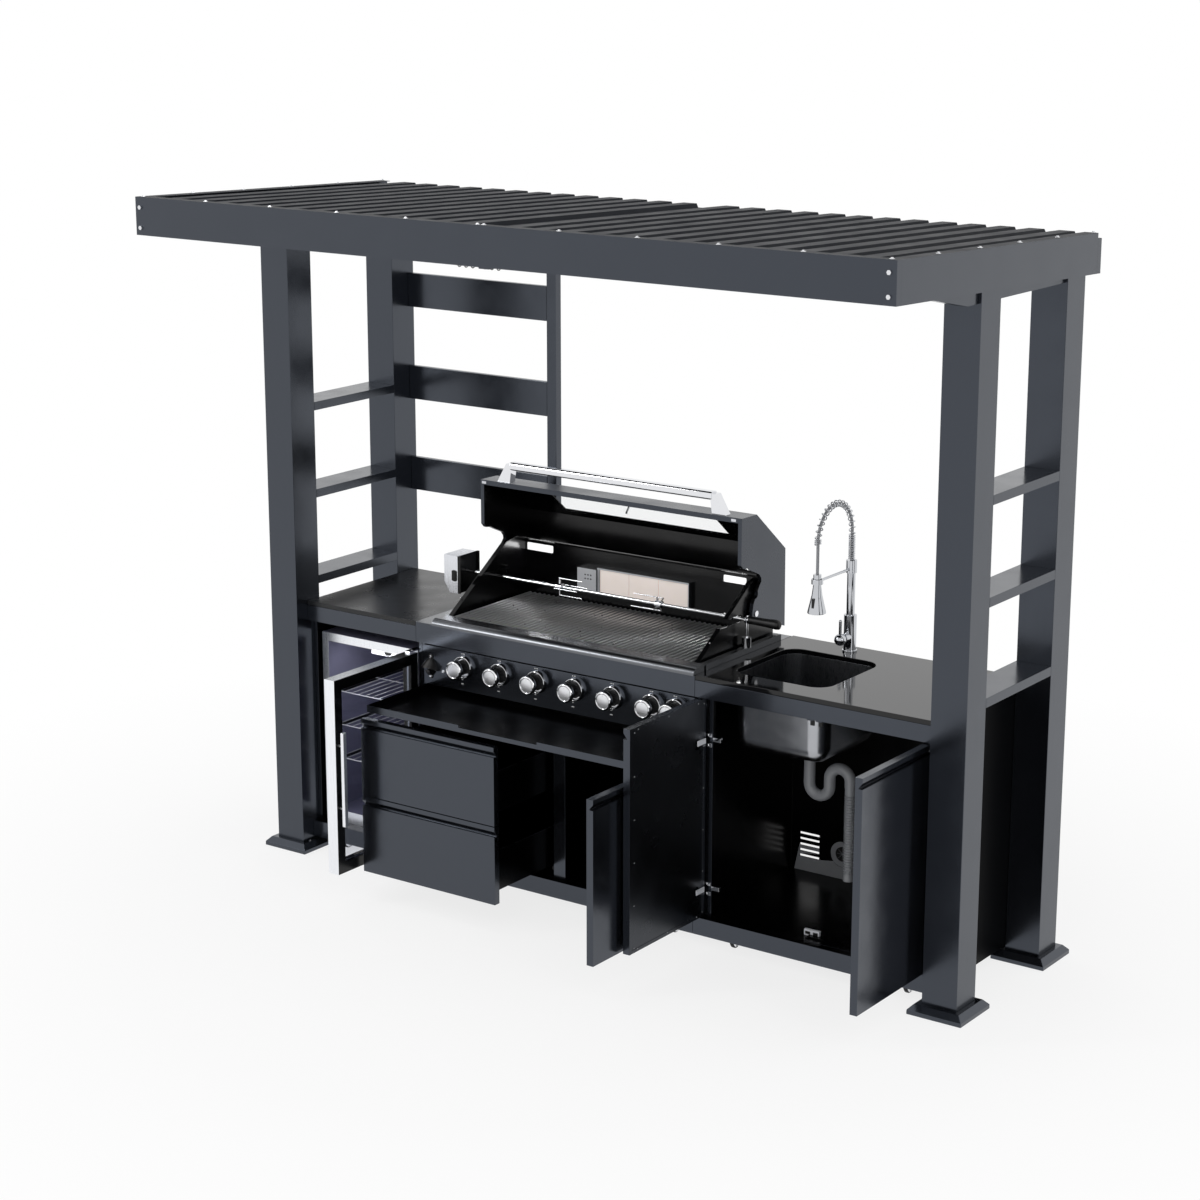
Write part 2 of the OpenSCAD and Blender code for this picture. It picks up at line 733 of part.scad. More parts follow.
// Waste: strainer cup, tailpiece, trap bend, riser and over-bend
trap_x = sink_x + 19;
bowl_z = under_counter - seam - bowl_h;
trap_z = bowl_z - 119.7;
over_r = trap_r + 0.5;
hose_x = trap_x + 2 * trap_r + 2 * over_r;
riser_z = trap_z + 27;
hose_top = riser_z - 18;
pipe_wall = 2.5;
module drain_trap() {
  color([0.35, 0.36, 0.38]) difference() {
    union() {
      translate([trap_x, sink_y, bowl_z + bowl_t + seam]) cylinder(d = drain_d + 16, h = 2);
      translate([trap_x, sink_y, bowl_z - 32]) cylinder(d = drain_d - 2, h = 35);
      waste_run(pipe_d, 0);
    }
    waste_run(pipe_d - 2 * pipe_wall, 1);
    translate([trap_x, sink_y, bowl_z - 29]) cylinder(d = drain_d - 8, h = 60);
  }
}
module waste_run(d, extra) {
  translate([trap_x, sink_y, trap_z]) cylinder(d = d, h = bowl_z - 28 - trap_z);
  translate([trap_x + trap_r, sink_y, trap_z]) rotate([90, 0, 180])
    mirror([0, 1, 0]) rotate_extrude(angle = 180) translate([trap_r, 0]) circle(d = d);
  translate([trap_x + 2 * trap_r, sink_y, trap_z]) cylinder(d = d, h = riser_z - trap_z);
  translate([trap_x + 2 * trap_r + over_r, sink_y, riser_z]) rotate([90, 0, 0])
    rotate_extrude(angle = 180) translate([over_r, 0]) circle(d = d);
  translate([hose_x, sink_y, hose_top - extra]) cylinder(d = d, h = riser_z - hose_top + extra);
}

// Drain hose: it hangs straight down from the over-bend. Its route, from the top, is
// (797, -, 543) to (797, -, 227), and each rib is one ring wider than the bore
hose_len = 316;
module drain_hose() {
  cuff = pipe_d;
  ribs = floor((hose_len - 2 * cuff) / hose_pitch);
  start = (hose_len - ribs * hose_pitch) / 2;
  outer = pipe_d / 2;
  inner = outer - 4.5;
  wall = 1.5;
  ribs_out = [for (i = [0 : ribs - 1], p = [[inner, 0.1], [outer, 0.35], [outer, 0.65], [inner, 0.9]])
    [p[0], start + (i + p[1]) * hose_pitch]];
  profile = concat([[inner - wall, 0], [outer - 2, 0], [outer - 2, start - 2], [inner, start]], ribs_out,
    [[inner, hose_len - start], [outer - 2, hose_len - start + 2], [outer - 2, hose_len],
     [inner - wall, hose_len]]);
  color([0.2, 0.2, 0.21]) translate([hose_x, sink_y, hose_top - seam - hose_len])
    rotate_extrude() polygon(profile);
}

// Faucet

base_top = counter_z + 124;
lever_z = counter_z + 52;
barrel_d = 30;
stud_d = 16;
module faucet_base() {
  color(steel) union() {
    translate([faucet_x, column_y, counter_z]) cylinder(d = 50, h = 6);
    translate([faucet_x, column_y, counter_z]) cylinder(d = 43, h = base_top - counter_z);
    bar_y(faucet_x, lever_z, column_y - 42, column_y, barrel_d);
    bar_y(faucet_x, lever_z, column_y - 52, column_y, stud_d / 2);
    translate([faucet_x, column_y, base_top - 1]) cylinder(d = stud_d, h = 16);
    translate([faucet_x, column_y, under_counter - 40]) cylinder(d = 32, h = 60);
    translate([faucet_x, column_y, under_counter - 14 - seam]) cylinder(d = 55, h = 14, $fn = 6);
  }
}
module faucet_lever() {
  ball_y = column_y - 62;
  color(steel) difference() {
    union() {
      translate([faucet_x, ball_y, lever_z]) sphere(20);
      translate([faucet_x, ball_y, lever_z]) cylinder(d = 11, h = 62);
      translate([faucet_x, ball_y, lever_z + 62]) sphere(d = 11);
    }
    bar_y(faucet_x, lever_z, column_y - 53, column_y, stud_d / 2 + 2 * play);
    span([faucet_x - 30, faucet_x + 30], [column_y - 42 - seam, column_y], [lever_z - 30, lever_z + 30]);
  }
}

// Spout: column, sleeve, dock arm and the hose inside the spring, all turning on the base
column_top = counter_z + 267;
sleeve_top = counter_z + 308;
dock_z = counter_z + 279;
spray_top = counter_z + 302;
module faucet_spout() {
  start = base_top + seam;
  color(steel) difference() {
    union() {
      translate([faucet_x, column_y, start]) cylinder(d = column_d, h = column_top - start);
      translate([faucet_x, column_y, column_top - 1]) cylinder(d = 36, h = sleeve_top - column_top + 1);
      translate([faucet_x, column_y, sleeve_top - 1])
        cylinder(d = faucet_hose_d, h = arch_z - sleeve_top + 1);
      translate([faucet_x, column_y - arch_r, arch_z]) rotate([0, 0, 90]) rotate([90, 0, 0])
        rotate_extrude(angle = 180) translate([arch_r, 0]) circle(d = faucet_hose_d);
      translate([faucet_x, spray_y, spray_top + seam])
        cylinder(d = faucet_hose_d, h = arch_z - spray_top - seam);
      bar_y(faucet_x, dock_z, spray_y + 10, column_y, 9);
      translate([faucet_x, spray_y, dock_z - 8]) cylinder(d = 38, h = 16);
    }
    translate([faucet_x, spray_y, dock_z - 9]) cylinder(d = 32, h = 18);
    translate([faucet_x, column_y, start - 1]) cylinder(d = stud_d + 2 * play, h = 17);
  }
}

// Spring: one wire wound on the hose, close at both ends and open over the arch
dense_pitch = 6;
open_pitch = 20;
lower_turns = 14;
open_turns = 17;
upper_turns = 3;
rings_per_turn = 8;
wire_sides = 6;
spring_turns = lower_turns + open_turns + upper_turns;
lower_run = lower_turns * dense_pitch;
// Run along the hose's middle line after a number of turns
function run_at(t) =
  t < lower_turns ? t * dense_pitch
  : t < lower_turns + open_turns ? lower_run + (t - lower_turns) * open_pitch
  : lower_run + open_turns * open_pitch + (t - lower_turns - open_turns) * dense_pitch;
// Middle line of the hose as (y, z, way round the arch) after a run s above the sleeve
spring_z = sleeve_top + seam;
rise = arch_z - spring_z;
half_arch = PI * arch_r;
function hose_angle(s) = s < rise ? 0 : s < rise + half_arch ? (s - rise) / arch_r * 180 / PI : 180;
function hose_point(s) =
  s < rise ? [faucet_x, column_y, spring_z + s]
  : s < rise + half_arch ? let (a = hose_angle(s))
      [faucet_x, column_y - arch_r + arch_r * cos(a), arch_z + arch_r * sin(a)]
  : [faucet_x, spray_y, arch_z - (s - rise - half_arch)];
function outward(s) = let (a = hose_angle(s)) [0, cos(a), sin(a)];
function wire_point(s, turn) = let (a = turn * 360)
  hose_point(s) + curl_d / 2 * (cos(a) * outward(s) + sin(a) * [1, 0, 0]);
wire_line = concat(
  [wire_point(0, 0)],
  [for (i = [0 : spring_turns * rings_per_turn])
    let (t = i / rings_per_turn) wire_point(wire_d + run_at(t), t)],
  [wire_point(2 * wire_d + run_at(spring_turns), spring_turns)]
);
function wire_way(i) = let (n = len(wire_line) - 1)
  i == 0 ? unit(wire_line[1] - wire_line[0])
  : i == n ? unit(wire_line[n] - wire_line[n - 1])
  : unit(wire_line[i + 1] - wire_line[i - 1]);
function wire_ring(i) = let (
    w = wire_way(i),
    a = unit(cross(w, [0.31, 0.52, 0.79])),
    b = cross(w, a)
  ) [for (k = [0 : wire_sides - 1])
      wire_line[i] + wire_d / 2 * (cos(k * 360 / wire_sides) * a + sin(k * 360 / wire_sides) * b)];
module faucet_spring() {
  n = len(wire_line);
  m = wire_sides;
  points = [for (i = [0 : n - 1]) each wire_ring(i)];
  sides = [for (i = [0 : n - 2], k = [0 : m - 1], half = [0, 1])
    let (p = i * m + k, q = i * m + (k + 1) % m)
      half == 0 ? [p, p + m, q] : [q, p + m, q + m]];
  ends = [for (k = [1 : m - 2], last = [0, 1])
    last == 0 ? [0, k, k + 1] : [(n - 1) * m, (n - 1) * m + k + 1, (n - 1) * m + k]];
  color(steel) polyhedron(points = points, faces = concat(sides, ends));
}
// Least gap between the wire's own turns, measured between points half a turn or more apart
wire_gap = min([for (i = [0 : len(wire_line) - 1], j = [i + 4 : min(len(wire_line) - 1, i + 20)])
  norm(wire_line[i] - wire_line[j])]) - wire_d;
echo(least_gap_between_spring_turns = wire_gap);

// Spray head: a bell that hangs in the dock ring
module spray_head() {
  height = 127;
  throat = 13;
  color(steel) translate([faucet_x, spray_y, spray_top - height]) rotate_extrude() polygon([
    [0, 8], [22, 8], [24, 0], [30, 0], [30, 4], [17, 60], [throat, 92], [throat, height], [0, height]
  ]);
}

// Grill

// Stainless trims: rounded front edge, filler at the left, rail at the right and deck behind
trim_t = 2;
bull_r = grate_z - counter_z + trim_t;
filler_w = 76;
rail_w = 22;
module grill_trim() {
  top = grate_z;
  bull_y = front_y + 70;
  front_x0 = seam_l + filler_w;
  color(steel) {
    along_x(front_x0 + seam, seam_r - seam) union() {
      intersection() {
        translate([bull_y, top - bull_r]) circle(bull_r);
        translate([bull_y - bull_r, top - bull_r]) square(bull_r);
      }
      polygon([[bull_y, counter_z - trim_t], [firebox_f - seam, counter_z - trim_t],
               [firebox_f - seam, top - 3], [firebox_f + 10, top - 3], [firebox_f + 10, top], [bull_y, top]]);
      translate([bull_y - bull_r, top - bull_r]) square([bull_r, 1]);
    }
    span([seam_l + seam, front_x0], [cab_f, cab_b], [counter_z - trim_t, counter_z]);
    span([seam_r - rail_w + seam, seam_r - seam], [firebox_f + 11, firebox_b - seam],
         [counter_z - trim_t, top]);
    span([front_x0 + seam, seam_r - seam], [firebox_b + seam, cab_b], [counter_z - trim_t, counter_z]);
  }
}

// Firebox: sloping side plates that carry the hood, front, back with vents, and an inner flange
plate_x0 = hood_x - plate_half;
plate_x1 = hood_x + plate_half;
firebox_z = panel_z + panel_h + 8;
plate_line = [[firebox_f, firebox_z], [firebox_f, grate_z - 22], [firebox_f + 16, grate_z - 6],
  [pivot_y - 2, grate_z + 200], [pivot_y + 64, grate_z + 212], [firebox_b, grate_z + 184],
  [firebox_b, firebox_z]];
sheet = 4;
ledge = 26;
module firebox() {
  color(charcoal) {
    side_plate(plate_x0, 1);
    side_plate(plate_x1, -1);
    x0 = plate_x0 + plate_t + seam;
    x1 = plate_x1 - plate_t - seam;
    span([x0, x1], [firebox_f, firebox_f + sheet], [firebox_z, grate_z - 14]);
    difference() {
      along_x(x0, x1) polygon(sheet_section([[firebox_b, firebox_z], [firebox_b, grate_z + 184],
        [firebox_b - 70, grate_z + 210]], sheet));
      for (vent = [[plate_x0 + 36, plate_x0 + 120], [plate_x1 - 195, plate_x1 - 105]])
        span(vent, [firebox_b - 10, firebox_b + 10], [grate_z + 150, grate_z + 171]);
    }
    for (y = [firebox_f + sheet + seam, firebox_b - sheet - seam - ledge])
      span([x0, x1], [y, y + ledge], [grate_z - 20, grate_z - 14]);
  }
}
// A side plate with a folded rim, a boss for the hood's pin and a notch that the spit enters from the front
module side_plate(x, way) {
  web = 3;
  rim = 4;
  notch = 24;
  inner = shifted_ring(plate_line, -rim);
  translate([x, 0, 0]) scale([way, 1, 1]) difference() {
    union() {
      difference() {
        along_x(0, plate_t) polygon(plate_line);
        along_x(web, plate_t + 1) polygon(inner);
      }
      bar_x(pivot_y, pivot_z, 0, plate_t, 34);
    }
    bar_x(pivot_y, pivot_z, -1, plate_t + 1, hood_pin_d + 2 * play);
    bar_x(spit_y, spit_z, -1, plate_t + 1, notch);
    span([-1, plate_t + 1], [firebox_f, spit_y], [spit_z - notch / 2, spit_z + notch / 2]);
  }
}
// Corners of a closed outline moved sideways by t
function shifted_ring(p, t) = let (n = len(p)) [for (i = [0 : n - 1])
  let (a = left_of(unit(p[i] - p[(i + n - 1) % n])), b = left_of(unit(p[(i + 1) % n] - p[i])))
    p[i] + t * (a + b) / (1 + a * b)];

// Control panel: a folded channel with a hole for each valve stem
function knob_at(i) = knob_x + (i < 6 ? i * knob_pitch : 5 * knob_pitch + knob_pair);
module control_panel() {
  color(black) difference() {
    along_x(seam_l + wall_t + 2 * seam, seam_r - wall_t - 2 * seam) polygon(sheet_section([
      [panel_y + 45, panel_z], [panel_y, panel_z], [panel_y, panel_z + panel_h],
      [panel_y + 45, panel_z + panel_h]], -2));
    for (i = [0 : 6])
      bar_y(knob_at(i), knob_z, panel_y - 1, panel_y + 5, 20);
  }
}

module knob_bezels() {
  color(steel) for (i = [0 : 6])
    translate([knob_at(i), panel_y, knob_z]) rotate([90, 0, 0]) rotate_extrude() polygon([
      [20, 0], [bezel_d / 2, 0], [bezel_d / 2, 2], [bezel_d / 2 - 3, 4], [bezel_d / 2 - 9, 3], [20, 3]]);
}

// Knob: ribbed black body with a chrome cap, on its valve stem
module knob(i) {
  ribs = 24;
  body_r = 25;
  y_base = panel_y - 4.5;
  depth = y_base - cap_y;
  cap_h = 18;
  outline = [for (k = [0 : 4 * ribs - 1])
    let (r = body_r - (k % 4 < 2 ? 0 : 1.6), a = k * 90 / ribs) [r * cos(a), r * sin(a)]];
  translate([knob_at(i), y_base, knob_z]) rotate([90, 0, 0]) difference() {
    union() {
      color(black) linear_extrude(depth - cap_h + 1) polygon(outline);
      color(steel) translate([0, 0, depth - cap_h]) rotate_extrude() polygon([
        [0, 0], [knob_d / 2 - 3, 0], [knob_d / 2, 4], [knob_d / 2, cap_h - 5], [knob_d / 2 - 5, cap_h],
        [knob_d / 2 - 9, cap_h - 2.5], [0, cap_h - 2.5]]);
      color(steel) translate([-1.5, knob_d / 2 - 24, depth - 3]) cube([3, 15, 2]);
    }
    translate([0, 0, -1]) cylinder(d = stem_d + 2 * play, h = 26);
  }
}
module knob_1() { knob(0); }
module knob_2() { knob(1); }
module knob_3() { knob(2); }
module knob_4() { knob(3); }
module knob_5() { knob(4); }
module knob_6() { knob(5); }
module knob_7() { knob(6); }

module bottle_opener() {
  x = seam_l + 46;
  z = knob_z - 16;
  color(black) difference() {
    union() {
      span([x - 20, x + 20], [panel_y - 3, panel_y], [z - 24, z + 30]);
      translate([x, panel_y - 1, z + 8]) rotate([90, 0, 0]) cylinder(d = 34, h = 16);
    }
    translate([x, panel_y - 4, z + 8]) rotate([90, 0, 0]) cylinder(d = 26, h = 20);
    span([x - 30, x + 30], [panel_y - 30, panel_y - 3.5], [z - 30, z - 1]);
  }
}

// Burners: gas pipe, seven valves with their stems, and six burner tubes with tents over them
gas_inlet_x = seam_r - 120;
gas_fitting_d = 24;
burner_z = grate_z - 68;
gas_pipe_y = panel_y + 52;
module gas_burners() {
  pipe_x0 = knob_at(0) - 20;
  pipe_x1 = gas_inlet_x + 11;
  pipe_r = 11;
  burner_y1 = firebox_b - 30;
  color([0.55, 0.5, 0.4]) {
    union() {
      bar_x(gas_pipe_y, knob_z, pipe_x0, pipe_x1, 2 * pipe_r);
      for (i = [0 : 6]) {
        bar_y(knob_at(i), knob_z, panel_y + 2 + seam, gas_pipe_y, 26);
        bar_y(knob_at(i), knob_z, panel_y - 28, panel_y + 7, stem_d);
      }
    }
    union() {
      bar_y(gas_inlet_x, knob_z, gas_pipe_y + pipe_r + seam, cab_b + 6, 21);
      bar_y(gas_inlet_x, knob_z, cab_b + 5, cab_b + 30, gas_fitting_d);
    }
    for (i = [0 : 5]) union() {
      translate([knob_at(i), gas_pipe_y, knob_z + pipe_r + seam])
        cylinder(d = 14, h = burner_z - knob_z - pipe_r);
      bar_y(knob_at(i), burner_z, gas_pipe_y - 9, burner_y1, 30);
    }
  }
  for (i = [0 : 5])
    color(steel) along_y(firebox_f + sheet + seam, firebox_b - sheet - seam)
      translate([knob_at(i), burner_z + 16 + seam])
        polygon([[-38, 0], [-36, 0], [0, 22], [36, 0], [38, 0], [0, 24.5]]);
}

// Cooking grates: three panels of round rods, each tied by four cross bars below
module cooking_grates() {
  x0 = plate_x0 + plate_t + 4;
  x1 = plate_x1 - plate_t - 4;
  y0 = firebox_f + 14;
  y1 = firebox_b - 20;
  panel = (x1 - x0) / 3;
  count = floor((panel - rod_d - 4) / rod_pitch);
  color([0.3, 0.3, 0.31]) for (i = [0 : 2]) translate([x0 + i * panel + panel / 2, 0, 0]) union() {
    for (k = [0 : count])
      bar_y((k - count / 2) * rod_pitch, grate_z - rod_d / 2, y0, y1, rod_d);
    for (k = [0 : 3]) {
      y = y0 + 4 + k * (y1 - y0 - 8) / 3;
      half = count * rod_pitch / 2 + rod_d / 2;
      span([-half, half], [y - 4, y + 4], [grate_z - 14 + seam, grate_z - rod_d / 2]);
    }
  }
}

// Rear burner: a stainless frame with three ceramic tiles and a box with six holes
module rear_burner() {
  x0 = plate_x0 + 247;
  x1 = plate_x1 - 323;
  tile_x0 = x0 + 84;
  y1 = firebox_b - sheet - seam;
  y0 = y1 - 20;
  z0 = spit_z - 58;
  z1 = spit_z + 34;
  tile_w = (x1 - tile_x0 - 8) / 3;
  color(steel) difference() {
    union() {
      span([x0 + 78, x1], [y0, y1], [z0, z1]);
      span([x0, x0 + 80], [y0 - 10, y1], [z0, z1 - 6]);
    }
    span([tile_x0 + 4, x1 - 4], [y0 - 1, y1 - 3], [z0 + 6, z1 - 6]);
    for (i = [0 : 2], k = [0, 1])
      bar_y(x0 + 34 + i * 12, spit_z - 8 + k * 14, y0 - 11, y0 + 5, 6);
  }
  color(white) for (i = [0 : 2])
    span([tile_x0 + 4 + seam + i * tile_w, tile_x0 + 4 + (i + 1) * tile_w - seam], [y0 + 3, y1 - 3 - seam],
         [z0 + 6 + seam, z1 - 6 - seam]);
}

// Drip tray, pulled out: a shallow pan whose front lip has a grip notch
module drip_tray() {
  x0 = seam_l + wall_t + 7;
  x1 = seam_r - wall_t - 12;
  top = panel_z - 3;
  y0 = cab_f - tray_travel;
  len = 560;
  wall = 2;
  color(black) difference() {
    span([x0, x1], [y0, y0 + len], [top - tray_h, top]);
    span([x0 + wall, x1 - wall], [y0 + wall, y0 + len - wall], [top - tray_h + wall, top + 1]);
    span([grill_x - 160, grill_x + 160], [y0 - 1, y0 + wall + 1], [top - 9, top + 1]);
  }
}

// Hood, open as the photograph shows it. Its outline is in (y, z) from the hinge pins
hood_cap = [[-94, 336], [-4, 334], [177, 187], [180, -80], [8, -26], [-12, -24], [-22, -12], [-22, 10],
  [-16, 36], [18, 90], [30, 104], [28, 116], [16, 130], [-31, 150], [-60, 164], [-80, 166], [-94, 180]];
hood_line = [[-94, 319], [-94, 336], [-4, 334], [177, 187], [180, -80]];
function moved(p, by) = [for (q = p) q + by];
cap_x0 = hood_x - hood_half;
cap_x1 = hood_x + hood_half;
window_half = hood_half - 195;
slant_len = norm(hood_line[3] - hood_line[2]);
slant = atan2(hood_line[2][1] - hood_line[3][1], hood_line[3][0] - hood_line[2][0]);
module hood() {
  pin = [pivot_y, pivot_z];
  x0 = cap_x0 + cap_t - 1;
  x1 = cap_x1 - cap_t + 1;
  color(charcoal) union() {
    end_cap(cap_x0, 1);
    end_cap(cap_x1, -1);
    difference() {
      along_x(x0, x1) polygon(moved(sheet_section(hood_line, -skin_t), pin));
      on_slant() translate([0, 0, -20]) linear_extrude(40) window_shape(0);
      on_slant() translate([0, thermo_at, -20]) cylinder(d = 12, h = 40);
    }
    on_slant() translate([-9, 0, -skin_t]) cube([18, thermo_at - 6, skin_t]);
  }
}
thermo_at = 62;
// Places a flat shape on the outside of the hood's slant, with +Y down the slant and +Z outwards
module on_slant() {
  translate([hood_x, pivot_y + hood_line[2][0], pivot_z + hood_line[2][1]]) rotate([-slant, 0, 0]) children();
}
// The window: a wide rectangle below the lip
window_top = 24;
module window_shape(inset) {
  far = slant_len - 50;
  polygon([[-window_half + inset, window_top + inset], [window_half - inset, window_top + inset],
           [window_half - inset, far - inset], [-window_half + inset, far - inset]]);
}
// An end cap: a folded dish with its pin, and a bite that clears the spit when the hood is shut
module end_cap(x, way) {
  pin = [pivot_y, pivot_z];
  spit = [pivot_y + spit_z - pivot_z, pivot_z + pivot_y - spit_y];
  translate([x, 0, 0]) scale([way, 1, 1]) {
    difference() {
      along_x(0, cap_t) polygon(moved(hood_cap, pin));
      bar_x(spit[0], spit[1], -1, cap_t + 1, 30);
    }
    bar_x(pivot_y, pivot_z, 1, hood_half - plate_half + plate_t + 2, hood_pin_d);
    bar_x(pivot_y, pivot_z, -3, 2, 20);
  }
}

module hood_glass() {
  glass_t = 4;
  color([0.4, 0.45, 0.5, 0.4]) on_slant() translate([0, 0, -skin_t - seam - glass_t]) difference() {
    linear_extrude(glass_t) window_shape(-10);
    translate([0, thermo_at, -1]) cylinder(d = 12, h = glass_t + 2);
  }
}

// Hood handle: a flat tube on two slanted legs
module hood_handle() {
  y = pivot_y - 72;
  z = pivot_z + 336 + seam;
  half = hood_half - 68;
  color(steel) translate([hood_x, 0, 0]) both_sides() union() {
    along_y(y - 15, y + 15) polygon([[half - 53, z], [half, z], [half - 38, z + 66], [half - 62, z + 66]]);
    along_x(0, half - 55) translate([y, z + 58]) round_rect(34, 28, 9);
  }
}

module thermometer() {
  color(steel) on_slant() translate([0, thermo_at, seam]) union() {
    cylinder(d = 56, h = 3);
    cylinder(d = 50, h = 9);
    translate([0, 0, -40]) cylinder(d = 8, h = 41);
  }
}

// Spit: motor, rod with two forks, handle and the bracket at the right

spit_x0 = seam_l - 24;
bracket_x = cap_x1 + 3;
handle_x = bracket_x + 9;
module spit_motor() {
  z0 = spit_z - 75;
  z1 = spit_z + 60;
  y0 = spit_y - 52;
  y1 = spit_y + 61;
  arm_y = [spit_y + 10, spit_y + 50];
  arm_end = plate_x0 - seam;
  color(steel) difference() {
    union() {
      along_y(y0, y1 - 8) polygon([[spit_x0 - 60, z0 + 37], [spit_x0 - 36, z0], [spit_x0, z0], [spit_x0, z1],
        [spit_x0 - 60, z1]]);
      span([spit_x0 - 1, spit_x0 + 3], [y0 + 2, y1], [z0, z1]);
      for (y = [y0 + 2, y1 - 3])
        span([spit_x0, spit_x0 + 10], [y, y + 3], [z0, z1]);
      span([spit_x0, arm_end], arm_y, [z0 + 8, z0 + 11]);
      span([arm_end - 3, arm_end], arm_y, [z0 + 8, z0 + 40]);
    }
    bar_x(spit_y, spit_z, spit_x0 - 15, spit_x0 + 5, spit_d + 2 * play);
  }
}
module spit_rod() {
  fork_l = plate_x0 + 297;
  fork_r = plate_x1 - 321;
  color(steel) union() {
    bar_x(spit_y, spit_z, spit_x0 - 14, handle_x + 40, spit_d);
    for (bush = [[-64, -48, 16], [-44, -27, 20]])
      bar_x(spit_y, spit_z, plate_x1 + bush[0], plate_x1 + bush[1], bush[2]);
    bar_x(spit_y, spit_z, plate_x0 - 76, plate_x0 - 62, 14);
    spit_fork(fork_l, 1, 0);
    spit_fork(fork_r, -1, 28);
  }
}
// Four tines on a hub with a thumb screw, turned round the rod
module spit_fork(x, way, turn) {
  reach = 30;
  translate([x, spit_y, spit_z]) rotate([turn, 0, 0]) scale([way, 1, 1]) {
    rotate([0, 90, 0]) translate([0, 0, -12]) cylinder(d = 24, h = 24);
    cylinder(d = 7, h = 24);
    for (a = [0, 90]) rotate([a, 0, 0]) {
      translate([0, 0, -reach]) cylinder(d = 4, h = 2 * reach, $fn = 16);
      for (s = [-1, 1]) translate([-1, 0, s * reach]) rotate([0, 90, 0]) cylinder(d = 4, h = 95, $fn = 16);
    }
  }
}
module spit_handle() {
  color(black) translate([handle_x + seam, spit_y, spit_z]) rotate([0, 90, 0]) rotate_extrude() polygon([
    [spit_d / 2 + play, 0], [12.5, 0], [14, 4], [13, 12], [14, 70], [16.5, 108], [15, 118], [8, 122],
    [0, 122], [0, 42], [spit_d / 2 + play, 42]]);
}
module spit_bracket() {
  post_at = bracket_x + 3;
  eye_t = 6;
  color(steel) difference() {
    union() {
      translate([post_at, spit_y, grate_z]) cylinder(d = 31, h = 34, $fn = 24);
      translate([post_at, spit_y, grate_z]) cylinder(d = 10, h = spit_z - grate_z);
      bar_x(spit_y, spit_z, bracket_x, bracket_x + eye_t, 26);
    }
    bar_x(spit_y, spit_z, bracket_x - 3, bracket_x + eye_t + 3, spit_d + 2 * play);
    span([bracket_x - 3, bracket_x + eye_t + 3], [spit_y - spit_d / 2 - play, spit_y + spit_d / 2 + play],
         [spit_z, spit_z + 20]);
  }
}

// Fridge

// The body is one insulated shell with ledges for the shelves and the door's two hinge brackets
liner_x0 = fridge_x0 + fridge_wall;
liner_x1 = fridge_x1 - fridge_wall;
liner_z0 = fridge_base + fridge_wall + 15;
liner_z1 = fridge_z - fridge_wall - 2;
liner_b = fridge_b - 50;
shelf_zs = [for (i = [0 : 2]) fridge_z - 218 - 124 * i];
fridge_pin_x = fridge_x1 - fridge_pin_in;
fridge_pin_y = cab_f + fridge_pin_back;
fridge_door_z0 = fridge_base + 13;
fridge_door_z1 = fridge_z - 1;
module fridge_body() {
  color([0.6, 0.6, 0.64]) difference() {
    union() {
      difference() {
        span([fridge_x0, fridge_x1], [fridge_f, fridge_b], [fridge_base, fridge_z]);
        span([liner_x0, liner_x1], [fridge_f - 1, liner_b], [liner_z0, liner_z1]);
      }
      for (z = shelf_zs, x = [liner_x0 - 1, liner_x1 - 5])
        span([x, x + 6], [fridge_f + 30, liner_b - 20], [z - 12, z - 4 - seam]);
      span([fridge_x1 - 22, fridge_x1], [cab_f + 3, fridge_f + 1], [fridge_base, fridge_door_z0 - 3]);
      span([fridge_x1 - 22, fridge_x1], [cab_f + 3, fridge_f + 20], [fridge_z, fridge_z + 5]);
    }
    translate([fridge_pin_x, fridge_pin_y, fridge_base - 1]) cylinder(d = pin_d + 2 * play, h = 20);
    translate([fridge_pin_x, fridge_pin_y, fridge_z - 1]) cylinder(d = pin_d + 2 * play, h = 10);
  }
}

// Wire shelves: a rim of rods with wires from front to back
module fridge_shelves() {
  wires = 12;
  x0 = liner_x0 + 1;
  x1 = liner_x1 - 1;
  y0 = fridge_f + 34;
  y1 = liner_b - 4;
  color(steel) for (z = shelf_zs) union() {
    for (y = [y0, (y0 + y1) / 2, y1]) bar_x(y, z - 2, x0, x1, 4, $fn = 16);
    for (i = [0 : wires]) bar_y(x0 + 2 + i * (x1 - x0 - 4) / wires, z - 1, y0 - 2, y1 + 2, 3, $fn = 16);
  }
}

thermostat_x = liner_x0 + 200;
thermostat_f = fridge_f + 70;
module thermostat_housing() {
  color(white) difference() {
    union() {
      along_x(thermostat_x - 60, thermostat_x + 60) polygon([
        [thermostat_f, liner_z1 - 40], [thermostat_f + 110, liner_z1 - 30],
        [thermostat_f + 110, liner_z1 - seam], [thermostat_f, liner_z1 - seam]]);
      bar_y(thermostat_x + 20, liner_z1 - 20, thermostat_f - 8, thermostat_f + 1, 6);
    }
    span([thermostat_x - 50, thermostat_x - 15], [thermostat_f - 1, thermostat_f + 2],
         [liner_z1 - 28, liner_z1 - 12]);
  }
}
module thermostat_dial() {
  color(black) translate([thermostat_x + 20, thermostat_f - seam, liner_z1 - 20]) rotate([90, 0, 0])
    difference() {
      union() {
        cylinder(d = 30, h = 5);
        cylinder(d = 24, h = 12);
        translate([-2, 0, 10]) cube([4, 11, 4]);
      }
      translate([0, 0, -1]) cylinder(d = 6 + 2 * play, h = 10);
    }
}

